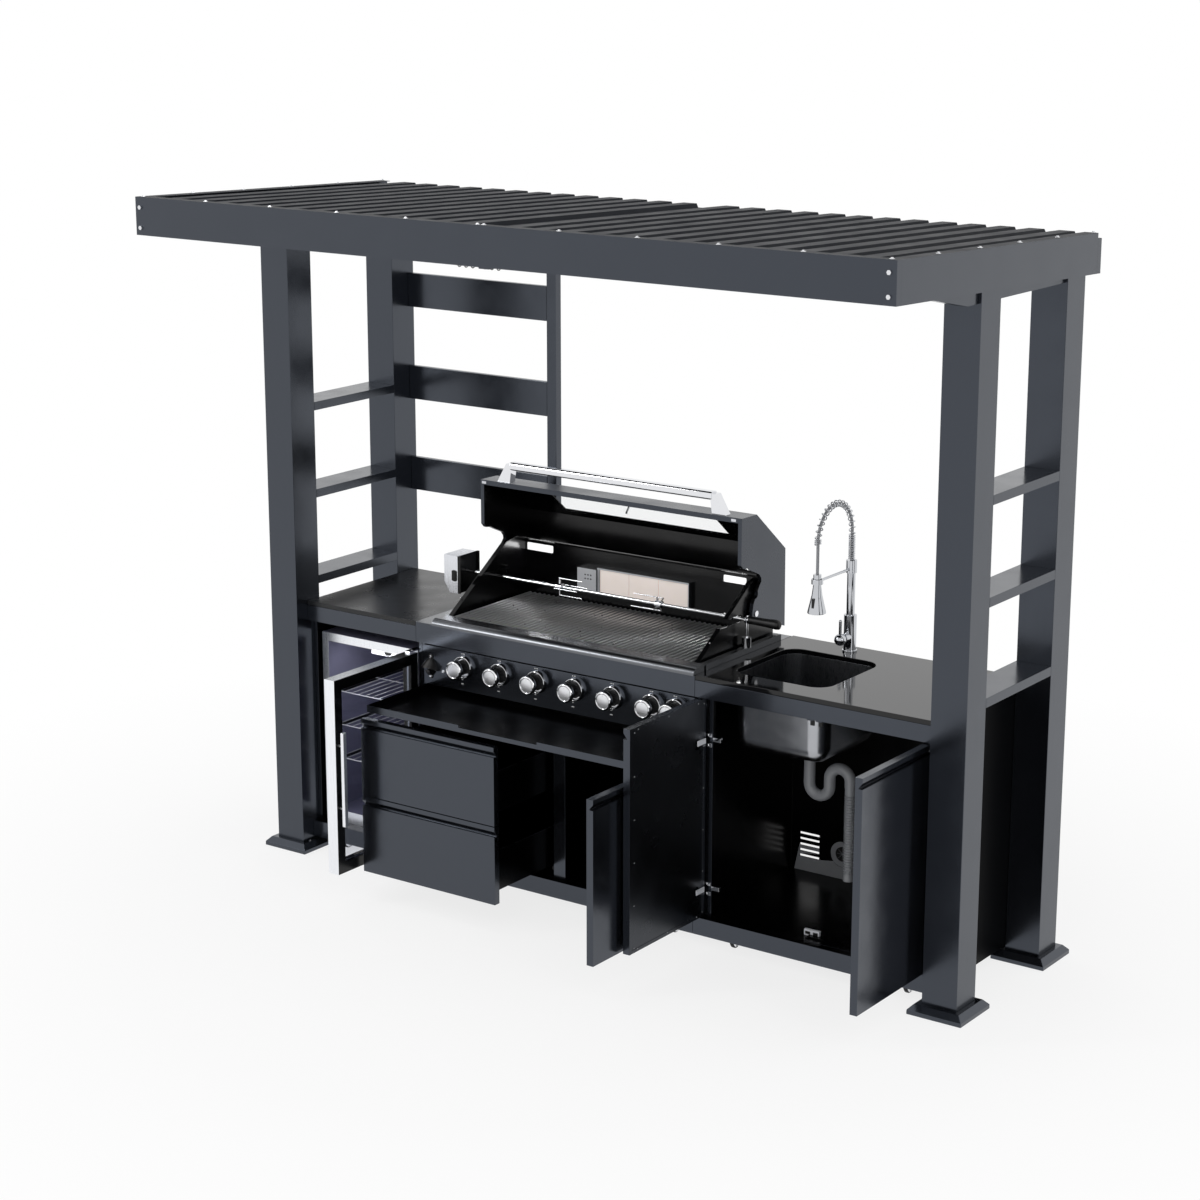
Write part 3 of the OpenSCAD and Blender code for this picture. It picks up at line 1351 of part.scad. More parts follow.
// Fridge door: a stainless frame with a black inner edge, its pins and a bar handle
module fridge_open() {
  translate([fridge_pin_x, fridge_pin_y, 0]) rotate([0, 0, 90]) translate([-fridge_pin_x, -fridge_pin_y, 0])
    children();
}
module fridge_door() {
  handle_x_at = fridge_x0 + 17;
  handle_y = cab_f - 23;
  handle_z0 = fridge_base + 188;
  handle_z1 = handle_z0 + 330;
  color(steel) fridge_open() union() {
    difference() {
      span([fridge_x0, fridge_x1], [cab_f, cab_f + fridge_door_t], [fridge_door_z0, fridge_door_z1]);
      span([fridge_x0 + fridge_rail, fridge_x1 - fridge_rail], [cab_f - 1, cab_f + fridge_door_t + 1],
           [fridge_door_z0 + fridge_rail, fridge_door_z1 - fridge_rail]);
      span([fridge_x0 + fridge_rail - 8, fridge_x1 - fridge_rail + 8], [cab_f + 10, cab_f + 26],
           [fridge_door_z0 + fridge_rail - 8, fridge_door_z1 - fridge_rail + 8]);
    }
    translate([fridge_pin_x, fridge_pin_y, fridge_door_z0 - 12]) cylinder(d = pin_d, h = 13);
    translate([fridge_pin_x, fridge_pin_y, fridge_door_z1 - 1]) cylinder(d = pin_d, h = 6);
    translate([handle_x_at, handle_y, handle_z0]) cylinder(d = 12, h = handle_z1 - handle_z0);
    for (z = [handle_z0 + 60, handle_z1 - 50]) bar_y(handle_x_at, z, handle_y, cab_f + 1, 9);
  }
}
module fridge_glass() {
  edge = fridge_rail - 8 + seam;
  color([0.5, 0.52, 0.55, 0.4]) fridge_open()
    span([fridge_x0 + edge, fridge_x1 - edge], [cab_f + 10 + seam, cab_f + 26 - seam],
         [fridge_door_z0 + edge, fridge_door_z1 - edge]);
}

// Casters under the three cabinet floors

caster_front = carc_f + 34;
caster_rear = cab_b - 60;
caster_xs = [100 - inner_x, seam_l - 100, seam_l + 110, seam_r - 110, seam_r + 126, inner_x - 110];
axle_d = 8;
axle_z = wheel_d / 2;
module caster_forks() {
  plate_z = floor_z - wall_t - seam;
  color(steel) for (x = caster_xs, y = [caster_front, caster_rear]) translate([x, y, 0]) union() {
    for (s = [-1, 1])
      along_x(s * 14 - 1.5, s * 14 + 1.5) polygon([[-8, axle_z - 9], [8, axle_z - 9], [16, plate_z - 2],
        [-16, plate_z - 2]]);
    translate([-18, -18, plate_z - 3]) cube([36, 36, 3]);
    translate([-15, 0, axle_z]) rotate([0, 90, 0]) cylinder(d = axle_d, h = 30);
  }
}
module wheel_row(y) {
  color(black) for (x = caster_xs) translate([x - 11, y, axle_z]) rotate([0, 90, 0]) rotate_extrude()
    polygon([[axle_d / 2 + play, 0], [12, 0], [12, 3], [wheel_d / 2 - 4, 3], [wheel_d / 2, 7],
             [wheel_d / 2, 15], [wheel_d / 2 - 4, 19], [12, 19], [12, 22], [axle_d / 2 + play, 22]]);
}
module front_caster_wheels() {
  wheel_row(caster_front);
}
module rear_caster_wheels() {
  wheel_row(caster_rear);
}

posts();
base_plates();
roof_beams();
roof_fascias();
roof_sheets();
frame_screws();
side_shelves();
back_slats();
utensil_hooks();
fridge_cabinet();
grill_cabinet();
sink_cabinet();
left_counter();
stone_counter();
grill_trim();
firebox();
control_panel();
cooking_grates();
gas_burners();
rear_burner();
knob_bezels();
bottle_opener();
fridge_body();
fridge_shelves();
thermostat_housing();
thermostat_dial();
sink_bowl();
drain_trap();
drain_hose();
faucet_base();
faucet_lever();
faucet_spout();
faucet_spring();
spray_head();
spit_bracket();
spit_motor();
spit_rod();
spit_handle();
caster_forks();
front_caster_wheels();
rear_caster_wheels();
hood();
hood_glass();
hood_handle();
thermometer();
knob_1();
knob_2();
knob_3();
knob_4();
knob_5();
knob_6();
knob_7();
drip_tray();
upper_drawer();
lower_drawer();
middle_door();
sink_left_door();
sink_right_door();
fridge_door();
fridge_glass();
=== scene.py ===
"""Looks of the outdoor kitchen island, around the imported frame. Metres, Z up, the front faces -Y."""

import json
import math

import bmesh
import bpy
from mathutils import Matrix, Vector

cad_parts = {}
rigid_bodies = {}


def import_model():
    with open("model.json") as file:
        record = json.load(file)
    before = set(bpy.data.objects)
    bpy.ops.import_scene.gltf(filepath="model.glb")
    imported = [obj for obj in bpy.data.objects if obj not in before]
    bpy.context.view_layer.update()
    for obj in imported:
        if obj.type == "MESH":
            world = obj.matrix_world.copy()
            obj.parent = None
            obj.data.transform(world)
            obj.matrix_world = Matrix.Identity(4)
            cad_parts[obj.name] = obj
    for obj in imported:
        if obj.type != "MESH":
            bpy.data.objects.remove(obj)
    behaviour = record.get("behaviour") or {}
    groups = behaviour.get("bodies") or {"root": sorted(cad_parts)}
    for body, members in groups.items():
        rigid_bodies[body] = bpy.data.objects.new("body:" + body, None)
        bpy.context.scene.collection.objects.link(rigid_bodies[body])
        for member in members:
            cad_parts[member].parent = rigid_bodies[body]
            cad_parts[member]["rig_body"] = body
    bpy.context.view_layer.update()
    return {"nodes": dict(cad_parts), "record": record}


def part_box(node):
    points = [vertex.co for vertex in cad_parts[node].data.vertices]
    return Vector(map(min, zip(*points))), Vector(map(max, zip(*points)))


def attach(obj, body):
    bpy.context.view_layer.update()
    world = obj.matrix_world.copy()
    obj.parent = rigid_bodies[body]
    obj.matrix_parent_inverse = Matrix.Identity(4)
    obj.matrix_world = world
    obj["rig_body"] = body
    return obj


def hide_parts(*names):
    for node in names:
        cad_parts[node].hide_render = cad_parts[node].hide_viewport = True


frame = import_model()
NODES = frame["nodes"]
BODY = {name: o["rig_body"] for name, o in NODES.items()}
SLOT = {part["node"]: part["material_slot"] for part in frame["record"]["subparts"]}
TO_RIGHT, TO_BACK, UP = Vector((1, 0, 0)), Vector((0, 1, 0)), Vector((0, 0, 1))
TO_FRONT = -TO_BACK


def add_to_scene(o):
    bpy.context.scene.collection.objects.link(o)


def centre(node):
    """The middle of a CAD node's box."""
    lo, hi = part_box(node)
    return (lo + hi) / 2


# Camera, solved from the frame's straight edges in the photo

LENS_MM, SENSOR_MM = 80.08, 36.0
CAMERA_AT = (4.8874, -6.8372, 3.2639)
CAMERA_DOWN, CAMERA_LEFT = 0.251770, 0.621189


def make_camera():
    data = bpy.data.cameras.new("camera")
    data.lens = LENS_MM
    data.sensor_width = SENSOR_MM
    camera = bpy.data.objects.new("camera", data)
    camera.location = CAMERA_AT
    camera.rotation_euler = (math.pi / 2 - CAMERA_DOWN, 0.0, CAMERA_LEFT)
    add_to_scene(camera)
    bpy.context.scene.camera = camera


# Materials


def linear(r, g, b):
    """An sRGB colour written 0 to 255, as linear values."""
    out = []
    for v in (r, g, b):
        v /= 255.0
        out.append(v / 12.92 if v <= 0.04045 else ((v + 0.055) / 1.055) ** 2.4)
    return (*out, 1.0)


def set_inputs(node, values):
    """Gives a node's inputs their values, each named with _ for a space."""
    for key, value in values.items():
        node.inputs[key.replace("_", " ")].default_value = value


class Mat:
    """A Principled material and short ways to add nodes to it."""

    def __init__(self, name, colour, rough, **values):
        self.name = name
        self.data = bpy.data.materials.new(name)
        self.data.use_nodes = True
        self.tree = self.data.node_tree
        self.shader = self.tree.nodes["Principled BSDF"]
        self.colour = colour
        self.rough = rough
        self.adjust(Base_Color=colour, Roughness=rough, **values)

    def adjust(self, **values):
        set_inputs(self.shader, values)

    def node(self, kind, **values):
        made = self.tree.nodes.new(kind)
        set_inputs(made, values)
        return made

    def link(self, a, b):
        self.tree.links.new(a, b)

    def coords(self, scale):
        """Object coordinates, times a scale along each axis."""
        source = self.node("ShaderNodeTexCoord")
        mapping = self.node("ShaderNodeMapping", Scale=scale)
        self.link(source.outputs["Object"], mapping.inputs["Vector"])
        return mapping.outputs["Vector"]

    def noise(self, scale, detail, stretch=(1, 1, 1), roughness=0.5):
        made = self.node("ShaderNodeTexNoise", Scale=scale, Detail=detail, Roughness=roughness)
        self.link(self.coords(stretch), made.inputs["Vector"])
        return made.outputs["Fac"]

    def ramp(self, fac, low, high, a, b):
        """The value a where fac is low, b where it is high."""
        made = self.node("ShaderNodeMapRange", From_Min=low, From_Max=high, To_Min=a, To_Max=b)
        self.link(fac, made.inputs["Value"])
        return made.outputs["Result"]

    def mix(self, fac, a, b):
        """A colour from a to b. In RGBA mode these are inputs 6 and 7, and the result is output 2."""
        made = self.tree.nodes.new("ShaderNodeMix")
        made.data_type = "RGBA"
        made.inputs[6].default_value = a
        made.inputs[7].default_value = b
        self.link(fac, made.inputs[0])
        return made.outputs[2]

    def vary(self, fac, spread):
        """The base colour a little darker and lighter by fac."""
        a = tuple(c * (1 - spread) for c in self.colour[:3]) + (1.0,)
        b = tuple(min(1.0, c * (1 + spread)) for c in self.colour[:3]) + (1.0,)
        self.link(self.mix(fac, a, b), self.shader.inputs["Base Color"])

    def roughen(self, fac, spread):
        """The roughness a little lower and higher by fac."""
        rough = self.ramp(fac, 0.3, 0.7, self.rough - spread, self.rough + spread)
        self.link(rough, self.shader.inputs["Roughness"])

    def bump(self, fac, depth, strength):
        made = self.node("ShaderNodeBump", Strength=strength, Distance=depth)
        self.link(fac, made.inputs["Height"])
        self.link(made.outputs["Normal"], self.shader.inputs["Normal"])


WHITE = (1.0, 1.0, 1.0, 1.0)
SLATE = (0.75, 0.835, 1.0, 1.0)


def painted(name, colour, rough, peel, spec, grain=900.0, sheen=WHITE):
    """Powder coat: fine orange peel, soft clouds in colour and gloss, a reflection that may be tinted."""
    m = Mat(name, colour, rough, Specular_IOR_Level=spec, Specular_Tint=sheen)
    m.vary(m.ramp(m.noise(5.0, 4.0), 0.3, 0.7, 0.0, 1.0), 0.10)
    m.roughen(m.noise(9.0, 5.0), 0.05)
    m.bump(m.noise(grain, 2.0), peel, 0.5)
    return m


def brushed(name, colour, rough, along, depth=0.00006, metallic=1.0):
    """Brushed metal: long streaks along one axis, by its number."""
    m = Mat(name, colour, rough, Metallic=metallic)
    across_scale, along_scale = 1400.0, 12.0
    stretch = [along_scale if i == along else across_scale for i in range(3)]
    streak = m.noise(1.0, 4.0, stretch, 0.65)
    m.vary(m.ramp(streak, 0.3, 0.7, 0.0, 1.0), 0.07)
    m.roughen(streak, 0.07)
    m.bump(streak, depth, 0.35)
    return m


def polished(name, colour, rough, clouds=0.03, metallic=1.0):
    """Smooth metal with faint clouds in its gloss."""
    m = Mat(name, colour, rough, Metallic=metallic)
    m.vary(m.noise(14.0, 3.0), 0.03)
    m.roughen(m.noise(30.0, 4.0), clouds)
    return m


def glass(name, colour, ior=1.45):
    m = Mat(name, colour, 0.01, Transmission_Weight=1.0, IOR=ior)
    m.roughen(m.noise(20.0, 2.0), 0.01)
    return m


def flecked_stone(name, colour, fleck_colour, rough):
    m = Mat(name, colour, rough, Specular_IOR_Level=0.42)
    fleck = m.ramp(m.noise(900.0, 2.0), 0.68, 0.75, 0.0, 1.0)
    m.link(m.mix(fleck, colour, fleck_colour), m.shader.inputs["Base Color"])
    return m


FINISHES = {finish.name: finish for finish in (
    painted("frame_paint", linear(12, 13, 16), 0.22, 0.00006, 0.97, sheen=SLATE),
    painted("roof_paint", linear(17, 19, 24), 0.52, 0.00010, 0.12, sheen=SLATE),
    painted("cabinet_paint", linear(14, 15, 18), 0.20, 0.00005, 1.0, sheen=SLATE),
    # Near-black copies of the charcoal paint, for faces in shade within the cabinets, on the doors' inner
    # faces and at the sides: painted shade.
    painted("shaded_inner_paint", linear(3, 3, 4), 0.22, 0.00005, 0.16),
    painted("shaded_door_back", linear(5, 5, 6), 0.30, 0.00005, 0.60, sheen=SLATE),
    painted("shaded_side_paint", linear(3, 3, 4), 0.42, 0.00005, 0.06),
    painted("counter_paint", linear(26, 27, 29), 0.30, 0.00006, 0.36),
    painted("enamel", linear(4, 4, 5), 0.22, 0.00005, 0.34, 500.0),
    painted("hood_paint", linear(16, 17, 20), 0.28, 0.00006, 0.86, 700.0, SLATE),
    painted("black_plastic", linear(12, 12, 13), 0.40, 0.00006, 0.4, 1500.0),
    painted("opener_black", linear(14, 14, 15), 0.30, 0.00008, 0.9, 1500.0),
    painted("grey_plastic", linear(150, 152, 156), 0.22, 0.00004, 0.5, 1200.0),
    painted("white_plastic", linear(232, 234, 240), 0.34, 0.00004, 0.45, 1200.0),
    painted("fridge_liner", linear(122, 122, 146), 0.42, 0.00006, 0.4),
    painted("caster_rubber", linear(22, 22, 24), 0.6, 0.00010, 0.35, 1500.0),
    painted("seal_rubber", linear(12, 12, 13), 0.55, 0.00008, 0.3, 1500.0),
    painted("mark_paint", linear(238, 238, 238), 0.5, 0.00002, 0.4, 2000.0),
    painted("ceramic_tile", linear(244, 233, 226), 0.7, 0.0002, 0.3, 700.0),
    # A lighter copy of the drawers' dark inside, for the floor and left side where light falls: painted
    # light.
    painted("lit_drawer_paint", linear(30, 32, 36), 0.30, 0.00005, 0.6, sheen=SLATE),
    painted("shelf_wire", linear(226, 227, 232), 0.24, 0.00002, 0.6, 1200.0),
    painted("burner_plate", linear(206, 208, 212), 0.45, 0.00003, 0.4),
    painted("lamp_lens", linear(246, 247, 250), 0.3, 0.00002, 0.4, 1200.0),
    brushed("brushed_trim", linear(104, 106, 110), 0.20, 0, metallic=0.9),
    brushed("upright_brush", linear(226, 228, 233), 0.26, 2),
    brushed("bright_steel", linear(224, 225, 228), 0.20, 2),
    brushed("frame_steel", linear(242, 244, 248), 0.30, 2),
    # A darker copy of the bowl's steel for its inside, as painted shade. Its outside is bowl_back.
    brushed("shaded_bowl_steel", linear(122, 124, 128), 0.30, 2),
    brushed("burner_steel", linear(60, 60, 62), 0.38, 1),
    brushed("satin_cap", linear(238, 239, 242), 0.34, 0, 0.00002),
    polished("bowl_back", linear(172, 174, 178), 0.24),
    polished("grate_iron", linear(180, 181, 183), 0.30, metallic=0.8),
    polished("faucet_chrome", linear(196, 198, 202), 0.06, 0.015),
    polished("burner_brass", linear(168, 152, 118), 0.30),
    polished("chrome_plate", linear(228, 229, 232), 0.06, 0.015),
    flecked_stone("polished_stone", linear(8, 8, 10), linear(40, 41, 44), 0.07),
    glass("clear_glass", linear(254, 255, 255), 1.12),
    glass("smoked_glass", linear(226, 228, 234)),
)}
# The tiles glow a little: painted light that makes them lighter than the light falling on them.
FINISHES["ceramic_tile"].adjust(Emission_Color=linear(232, 220, 212), Emission_Strength=0.30)
FINISHES["lamp_lens"].adjust(Emission_Color=WHITE, Emission_Strength=0.9)

# Mesh tools. An edge that turns more than SHARP degrees stays a crease.

SHARP = 32.0


def set_order(bm):
    """Sorts a mesh by place, because the order that a bevel leaves isn't the same in every run."""
    places = ((bm.verts, lambda v: v.co[:]),
              (bm.edges, lambda e: sorted(v.co[:] for v in e.verts)),
              (bm.faces, lambda f: (f.calc_center_median()[:], f.normal[:])))
    for elements, place in places:
        for i, element in enumerate(sorted(elements, key=place)):
            element.index = i
        elements.sort()


def new_object(name, bm, material):
    """An object of the scene, from a bmesh that is freed."""
    mesh = bpy.data.meshes.new(name)
    set_order(bm)
    bm.to_mesh(mesh)
    bm.free()
    o = bpy.data.objects.new(name, mesh)
    add_to_scene(o)
    o.data.materials.append(material.data)
    return o


def smooth(o, angle):
    """Smooth faces whose shared edge turns less than the angle."""
    bm = bmesh.new()
    bm.from_mesh(o.data)
    limit = math.radians(angle)
    for e in bm.edges:
        e.smooth = len(e.link_faces) == 2 and e.calc_face_angle(0.0) < limit
    for f in bm.faces:
        f.smooth = True
    bm.to_mesh(o.data)
    bm.free()
    weigh = o.modifiers.new("flat faces lead", "WEIGHTED_NORMAL")
    weigh.keep_sharp = True
    weigh.weight = 90


def bevel(bm, edges, width, segments=2):
    bmesh.ops.bevel(bm, geom=edges, offset=width, offset_type="OFFSET", segments=segments,
                    profile=0.5, affect="EDGES", clamp_overlap=True)


def round_edges(bm, width):
    """Bevels each sharp edge that is long enough for it."""
    limit, shortest = math.radians(SHARP), 2.2 * width
    edges = [e for e in bm.edges if len(e.link_faces) == 2 and e.calc_face_angle(0.0) > limit
             and e.calc_length() > shortest]
    if edges:
        bevel(bm, edges, width)


def from_node(name):
    """The node's mesh with joined corners and whole flat faces."""
    bm = bmesh.new()
    bm.from_mesh(NODES[name].data)
    bmesh.ops.remove_doubles(bm, verts=bm.verts, dist=2e-6)
    bmesh.ops.dissolve_degenerate(bm, edges=bm.edges, dist=1e-6)
    bmesh.ops.dissolve_limit(bm, angle_limit=math.radians(0.6), verts=bm.verts, edges=bm.edges)
    return bm


def dress(name, width, material):
    """A copy of the node with edges rounded to a width, which stands for it."""
    bm = from_node(name)
    if width:
        round_edges(bm, width)
    o = new_object(f"{name}_finish", bm, material)
    smooth(o, SHARP)
    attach(o, BODY[name])
    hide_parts(name)
    return o


def piece(name, bm, finish, node, angle=SHARP):
    """A piece of the named finish that moves with a CAD node's body."""
    o = new_object(name, bm, FINISHES[finish])
    smooth(o, angle)
    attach(o, BODY[node])
    return o


def add_box(bm, lo, hi, rounding=0.0, segments=2):
    size = [hi[i] - lo[i] for i in range(3)]
    mid = [(hi[i] + lo[i]) / 2 for i in range(3)]
    place = Matrix.Translation(mid) @ Matrix.Diagonal((*size, 1.0))
    made = bmesh.ops.create_cube(bm, size=1.0, matrix=place)
    if rounding:
        # each edge once and in a fixed order, so that every run makes the same mesh
        edges = dict.fromkeys(e for v in made["verts"] for e in v.link_edges)
        bevel(bm, list(edges), rounding, segments)


def add_prism(bm, outline, axis, start, end):
    """A closed outline in the two axes that follow the given one, run from start to end along it."""
    rings = []
    for at in (start, end):
        ring = []
        for a, b in outline:
            p = [0.0, 0.0, 0.0]
            p[axis], p[(axis + 1) % 3], p[(axis + 2) % 3] = at, a, b
            ring.append(bm.verts.new(p))
        rings.append(ring)
    n = len(outline)
    made = [bm.faces.new(rings[0]), bm.faces.new(list(reversed(rings[1])))]
    for i in range(n):
        j = (i + 1) % n
        made.append(bm.faces.new((rings[0][j], rings[0][i], rings[1][i], rings[1][j])))
    bmesh.ops.recalc_face_normals(bm, faces=made)


def axis_matrix(at, way):
    """A matrix that takes +Z to the given way, at a place."""
    return Matrix.Translation(at) @ UP.rotation_difference(Vector(way)).to_matrix().to_4x4()


def add_turned(bm, profile, at, way, sides=32):
    """A solid of revolution from (radius, height) points, closed on its axis or into a ring."""
    place = axis_matrix(at, way)
    on_axis = 1e-7
    rings = []
    for r, h in profile:
        if r < on_axis:
            rings.append([bm.verts.new(place @ Vector((0, 0, h)))])
        else:
            rings.append([bm.verts.new(place @ Vector((r * math.cos(a), r * math.sin(a), h)))
                          for a in (2 * math.pi * i / sides for i in range(sides))])
    closed = profile[0][0] > on_axis and profile[-1][0] > on_axis
    pairs = list(zip(rings, rings[1:])) + ([(rings[-1], rings[0])] if closed else [])
    made = []
    for a, b in pairs:
        for i in range(sides):
            j = (i + 1) % sides
            if len(a) == 1 and len(b) == 1:
                continue
            if len(a) == 1:
                made.append(bm.faces.new((a[0], b[j], b[i])))
            elif len(b) == 1:
                made.append(bm.faces.new((a[i], a[j], b[0])))
            else:
                made.append(bm.faces.new((a[i], a[j], b[j], b[i])))
    bmesh.ops.recalc_face_normals(bm, faces=made)


def add_disc(bm, radius, thick, at, way, sides=40):
    add_turned(bm, [(0.0, 0.0), (radius, 0.0), (radius, thick), (0.0, thick)], at, way, sides)


def add_screw(bm, at, way, radius, height):
    """A low domed screw or rivet head."""
    add_turned(bm, [(0, 0), (radius, 0), (radius, 0.4 * height), (0.75 * radius, 0.85 * height), (0, height)],
               at, way, 14)


def add_tube(bm, points, radius, sides):
    """A round tube along points, with a frame that turns as little as it can."""
    pts = [Vector(p) for p in points]
    ways = []
    for i in range(len(pts)):
        a, b = pts[max(0, i - 1)], pts[min(len(pts) - 1, i + 1)]
        ways.append((b - a).normalized())
    side = ways[0].orthogonal().normalized()
    rings = []
    for i, p in enumerate(pts):
        if i:
            side = (ways[i - 1].rotation_difference(ways[i]) @ side)
            side = (side - side.dot(ways[i]) * ways[i]).normalized()
        up = ways[i].cross(side)
        rings.append([bm.verts.new(p + radius * (math.cos(t) * side + math.sin(t) * up))
                      for t in (2 * math.pi * k / sides for k in range(sides))])
    for a, b in zip(rings, rings[1:]):
        for k in range(sides):
            n = (k + 1) % sides
            bm.faces.new((a[k], a[n], b[n], b[k]))
    bm.faces.new(list(reversed(rings[0])))
    bm.faces.new(rings[-1])


# Drain hose

HOSE_R, HOSE_VALLEY_R, HOSE_BORE_R = 0.019, 0.0149, 0.0132
HOSE_RIBS, HOSE_CUFF = 30, 0.026


def hose_profile(length):
    """Radius and height from foot to top: a plain cuff at each end, and ribs between them."""
    cuff_r, end_r = HOSE_R - 0.0012, HOSE_R - 0.002
    flank_r = HOSE_R - 0.0006
    pitch = (length - 2 * HOSE_CUFF) / HOSE_RIBS
    rib = ((0.18, HOSE_VALLEY_R), (0.34, flank_r), (0.5, HOSE_R), (0.66, flank_r), (0.82, HOSE_VALLEY_R))
    foot = [(HOSE_BORE_R, 0.0), (end_r, 0.0), (cuff_r, 0.0012), (cuff_r, HOSE_CUFF - 0.004),
            (HOSE_VALLEY_R, HOSE_CUFF)]
    ribs = [(r, HOSE_CUFF + (i + part) * pitch) for i in range(HOSE_RIBS) for part, r in rib]
    top = [(r, length - h) for r, h in reversed(foot)]
    return foot + ribs + top


def make_hose():
    lo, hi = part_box("drain_hose")
    x, y, top = (lo.x + hi.x) / 2, (lo.y + hi.y) / 2, hi.z
    length = hi.z - lo.z
    bm = bmesh.new()
    add_turned(bm, hose_profile(length), (x, y, lo.z), UP, 36)
    o = piece("drain_hose_ribbed", bm, "grey_plastic", "drain_hose", 40.0)
    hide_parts("drain_hose")


# Stage: floor, light and backdrop

FLOOR_GREY = (0.86, 0.86, 0.86, 1.0)
WORLD_GREY = (0.84, 0.84, 0.84, 1.0)
SHADOW_NEAR, SHADOW_FAR = 1.6, 3.4


def rays_seen(tree):
    """1 for rays of the camera, of reflections and through glass, 0 for others."""
    path = tree.nodes.new("ShaderNodeLightPath")
    most = path.outputs["Is Camera Ray"]
    for kind in ("Is Glossy Ray", "Is Transmission Ray"):
        larger = tree.nodes.new("ShaderNodeMath")
        larger.operation = "MAXIMUM"
        tree.links.new(most, larger.inputs[0])
        tree.links.new(path.outputs[kind], larger.inputs[1])
        most = larger.outputs[0]
    return most


def show_mixed(tree, fac, first, second, output):
    """The output shows the first shader where fac is 0, and the second where it is 1."""
    mix = tree.nodes.new("ShaderNodeMixShader")
    tree.links.new(fac, mix.inputs[0])
    tree.links.new(first.outputs[0], mix.inputs[1])
    tree.links.new(second.outputs[0], mix.inputs[2])
    tree.links.new(mix.outputs[0], tree.nodes[output].inputs["Surface"])


def make_floor():
    """A floor that takes the shadow near the island and is white farther out."""
    bm = bmesh.new()
    bmesh.ops.create_grid(bm, x_segments=1, y_segments=1, size=40.0)
    m = Mat("floor", FLOOR_GREY, 0.9, Specular_IOR_Level=0.0)
    floor = new_object("floor", bm, m)
    floor.location = (0, 0, -0.0005)
    place = m.node("ShaderNodeTexCoord")
    length = m.node("ShaderNodeVectorMath")
    length.operation = "LENGTH"
    m.link(place.outputs["Object"], length.inputs[0])
    share = m.node("ShaderNodeMath")
    share.operation = "MULTIPLY"
    m.link(m.ramp(length.outputs["Value"], SHADOW_NEAR, SHADOW_FAR, 0.80, 1.0), share.inputs[0])
    m.link(rays_seen(m.tree), share.inputs[1])
    glow = m.node("ShaderNodeEmission", Strength=1.0)
    show_mixed(m.tree, share.outputs[0], m.shader, glow, "Material Output")


def make_world():
    """White surroundings for rays that are seen, and a light grey for the rest."""
    world = bpy.data.worlds.new("studio")
    bpy.context.scene.world = world
    world.use_nodes = True
    tree = world.node_tree
    background = tree.nodes["Background"]
    set_inputs(background, {"Color": WORLD_GREY, "Strength": 1.0})
    white = tree.nodes.new("ShaderNodeBackground")
    set_inputs(white, {"Color": WHITE, "Strength": 1.0})
    show_mixed(tree, rays_seen(tree), background, white, "World Output")


def area_light(name, at, target, size, watts):
    data = bpy.data.lights.new(name, "AREA")
    data.shape = "RECTANGLE"
    data.size, data.size_y = size
    data.energy = watts
    o = bpy.data.objects.new(name, data)
    o.location = at
    way = Vector(target) - Vector(at)
    o.rotation_euler = way.to_track_quat("-Z", "Y").to_euler()
    add_to_scene(o)


def make_lights():
    area_light("key", (-5.6, -6.0, 5.0), (0, 0, 1.0), (0.9, 3.0), 110.0)
    area_light("fill", (6.5, -2.5, 3.0), (0, 0, 1.2), (1.2, 3.0), 40.0)
    area_light("top", (0.0, -1.0, 6.5), (0, 0, 0), (5.0, 3.0), 45.0)


make_camera()
make_hose()
make_floor()
make_world()
make_lights()
bpy.context.scene.view_settings.view_transform = "Standard"

# Dressed nodes: how far the edges are rounded, and the finish where it isn't the slot's own

EDGE = {
    "posts": 0.0022, "base_plates": 0.0015, "roof_beams": 0.002, "roof_fascias": 0.0012,
    "side_shelves": 0.0015, "back_slats": 0.002, "utensil_hooks": 0.0004, "fridge_cabinet": 0.0012,
    "grill_cabinet": 0.0012, "sink_cabinet": 0.0012, "left_counter": 0.002, "stone_counter": 0.002,
    "grill_trim": 0.0006, "firebox": 0.0006, "control_panel": 0.0008, "cooking_grates": 0.0005,
    "drip_tray": 0.0008, "upper_drawer": 0.0018, "lower_drawer": 0.0018, "middle_door": 0.0018,
    "sink_left_door": 0.0018, "sink_right_door": 0.0018, "fridge_body": 0.0015, "fridge_door": 0.0012,
    "fridge_glass": 0.0006, "hood": 0.0008, "hood_handle": 0.0018, "spit_motor": 0.0012,
    "thermostat_housing": 0.003, "thermostat_dial": 0.0006, "rear_burner": 0.0005, "spit_bracket": 0.0006,
    "sink_bowl": 0.0006, "faucet_base": 0.0008, "faucet_lever": 0.0008, "spray_head": 0.0006,
    "spit_handle": 0.001, "caster_forks": 0.0005, "frame_screws": 0.0005,
}
NODE_FINISH = {
    "roof_sheets": "roof_paint", "hood": "hood_paint", "sink_bowl": "shaded_bowl_steel", "spit_rod": "chrome_plate",
    "spit_bracket": "chrome_plate", "spit_motor": "upright_brush", "fridge_door": "frame_steel",
    "fridge_glass": "smoked_glass", "fridge_shelves": "shelf_wire", "utensil_hooks": "enamel",
    # the drip tray takes the near-black copy of the paint, as painted shade
    "drip_tray": "shaded_side_paint", "faucet_base": "faucet_chrome", "faucet_lever": "faucet_chrome",
    "faucet_spout": "faucet_chrome", "spray_head": "faucet_chrome",
}
KNOBS = [f"knob_{i}" for i in range(1, 8)]
MADE_ANEW = {"drain_hose", "knob_bezels", "bottle_opener", "faucet_spring", *KNOBS}
SHOWN = {node: dress(node, EDGE.get(node, 0.0), FINISHES[NODE_FINISH.get(node, SLOT[node])])
         for node in NODES if node not in MADE_ANEW}


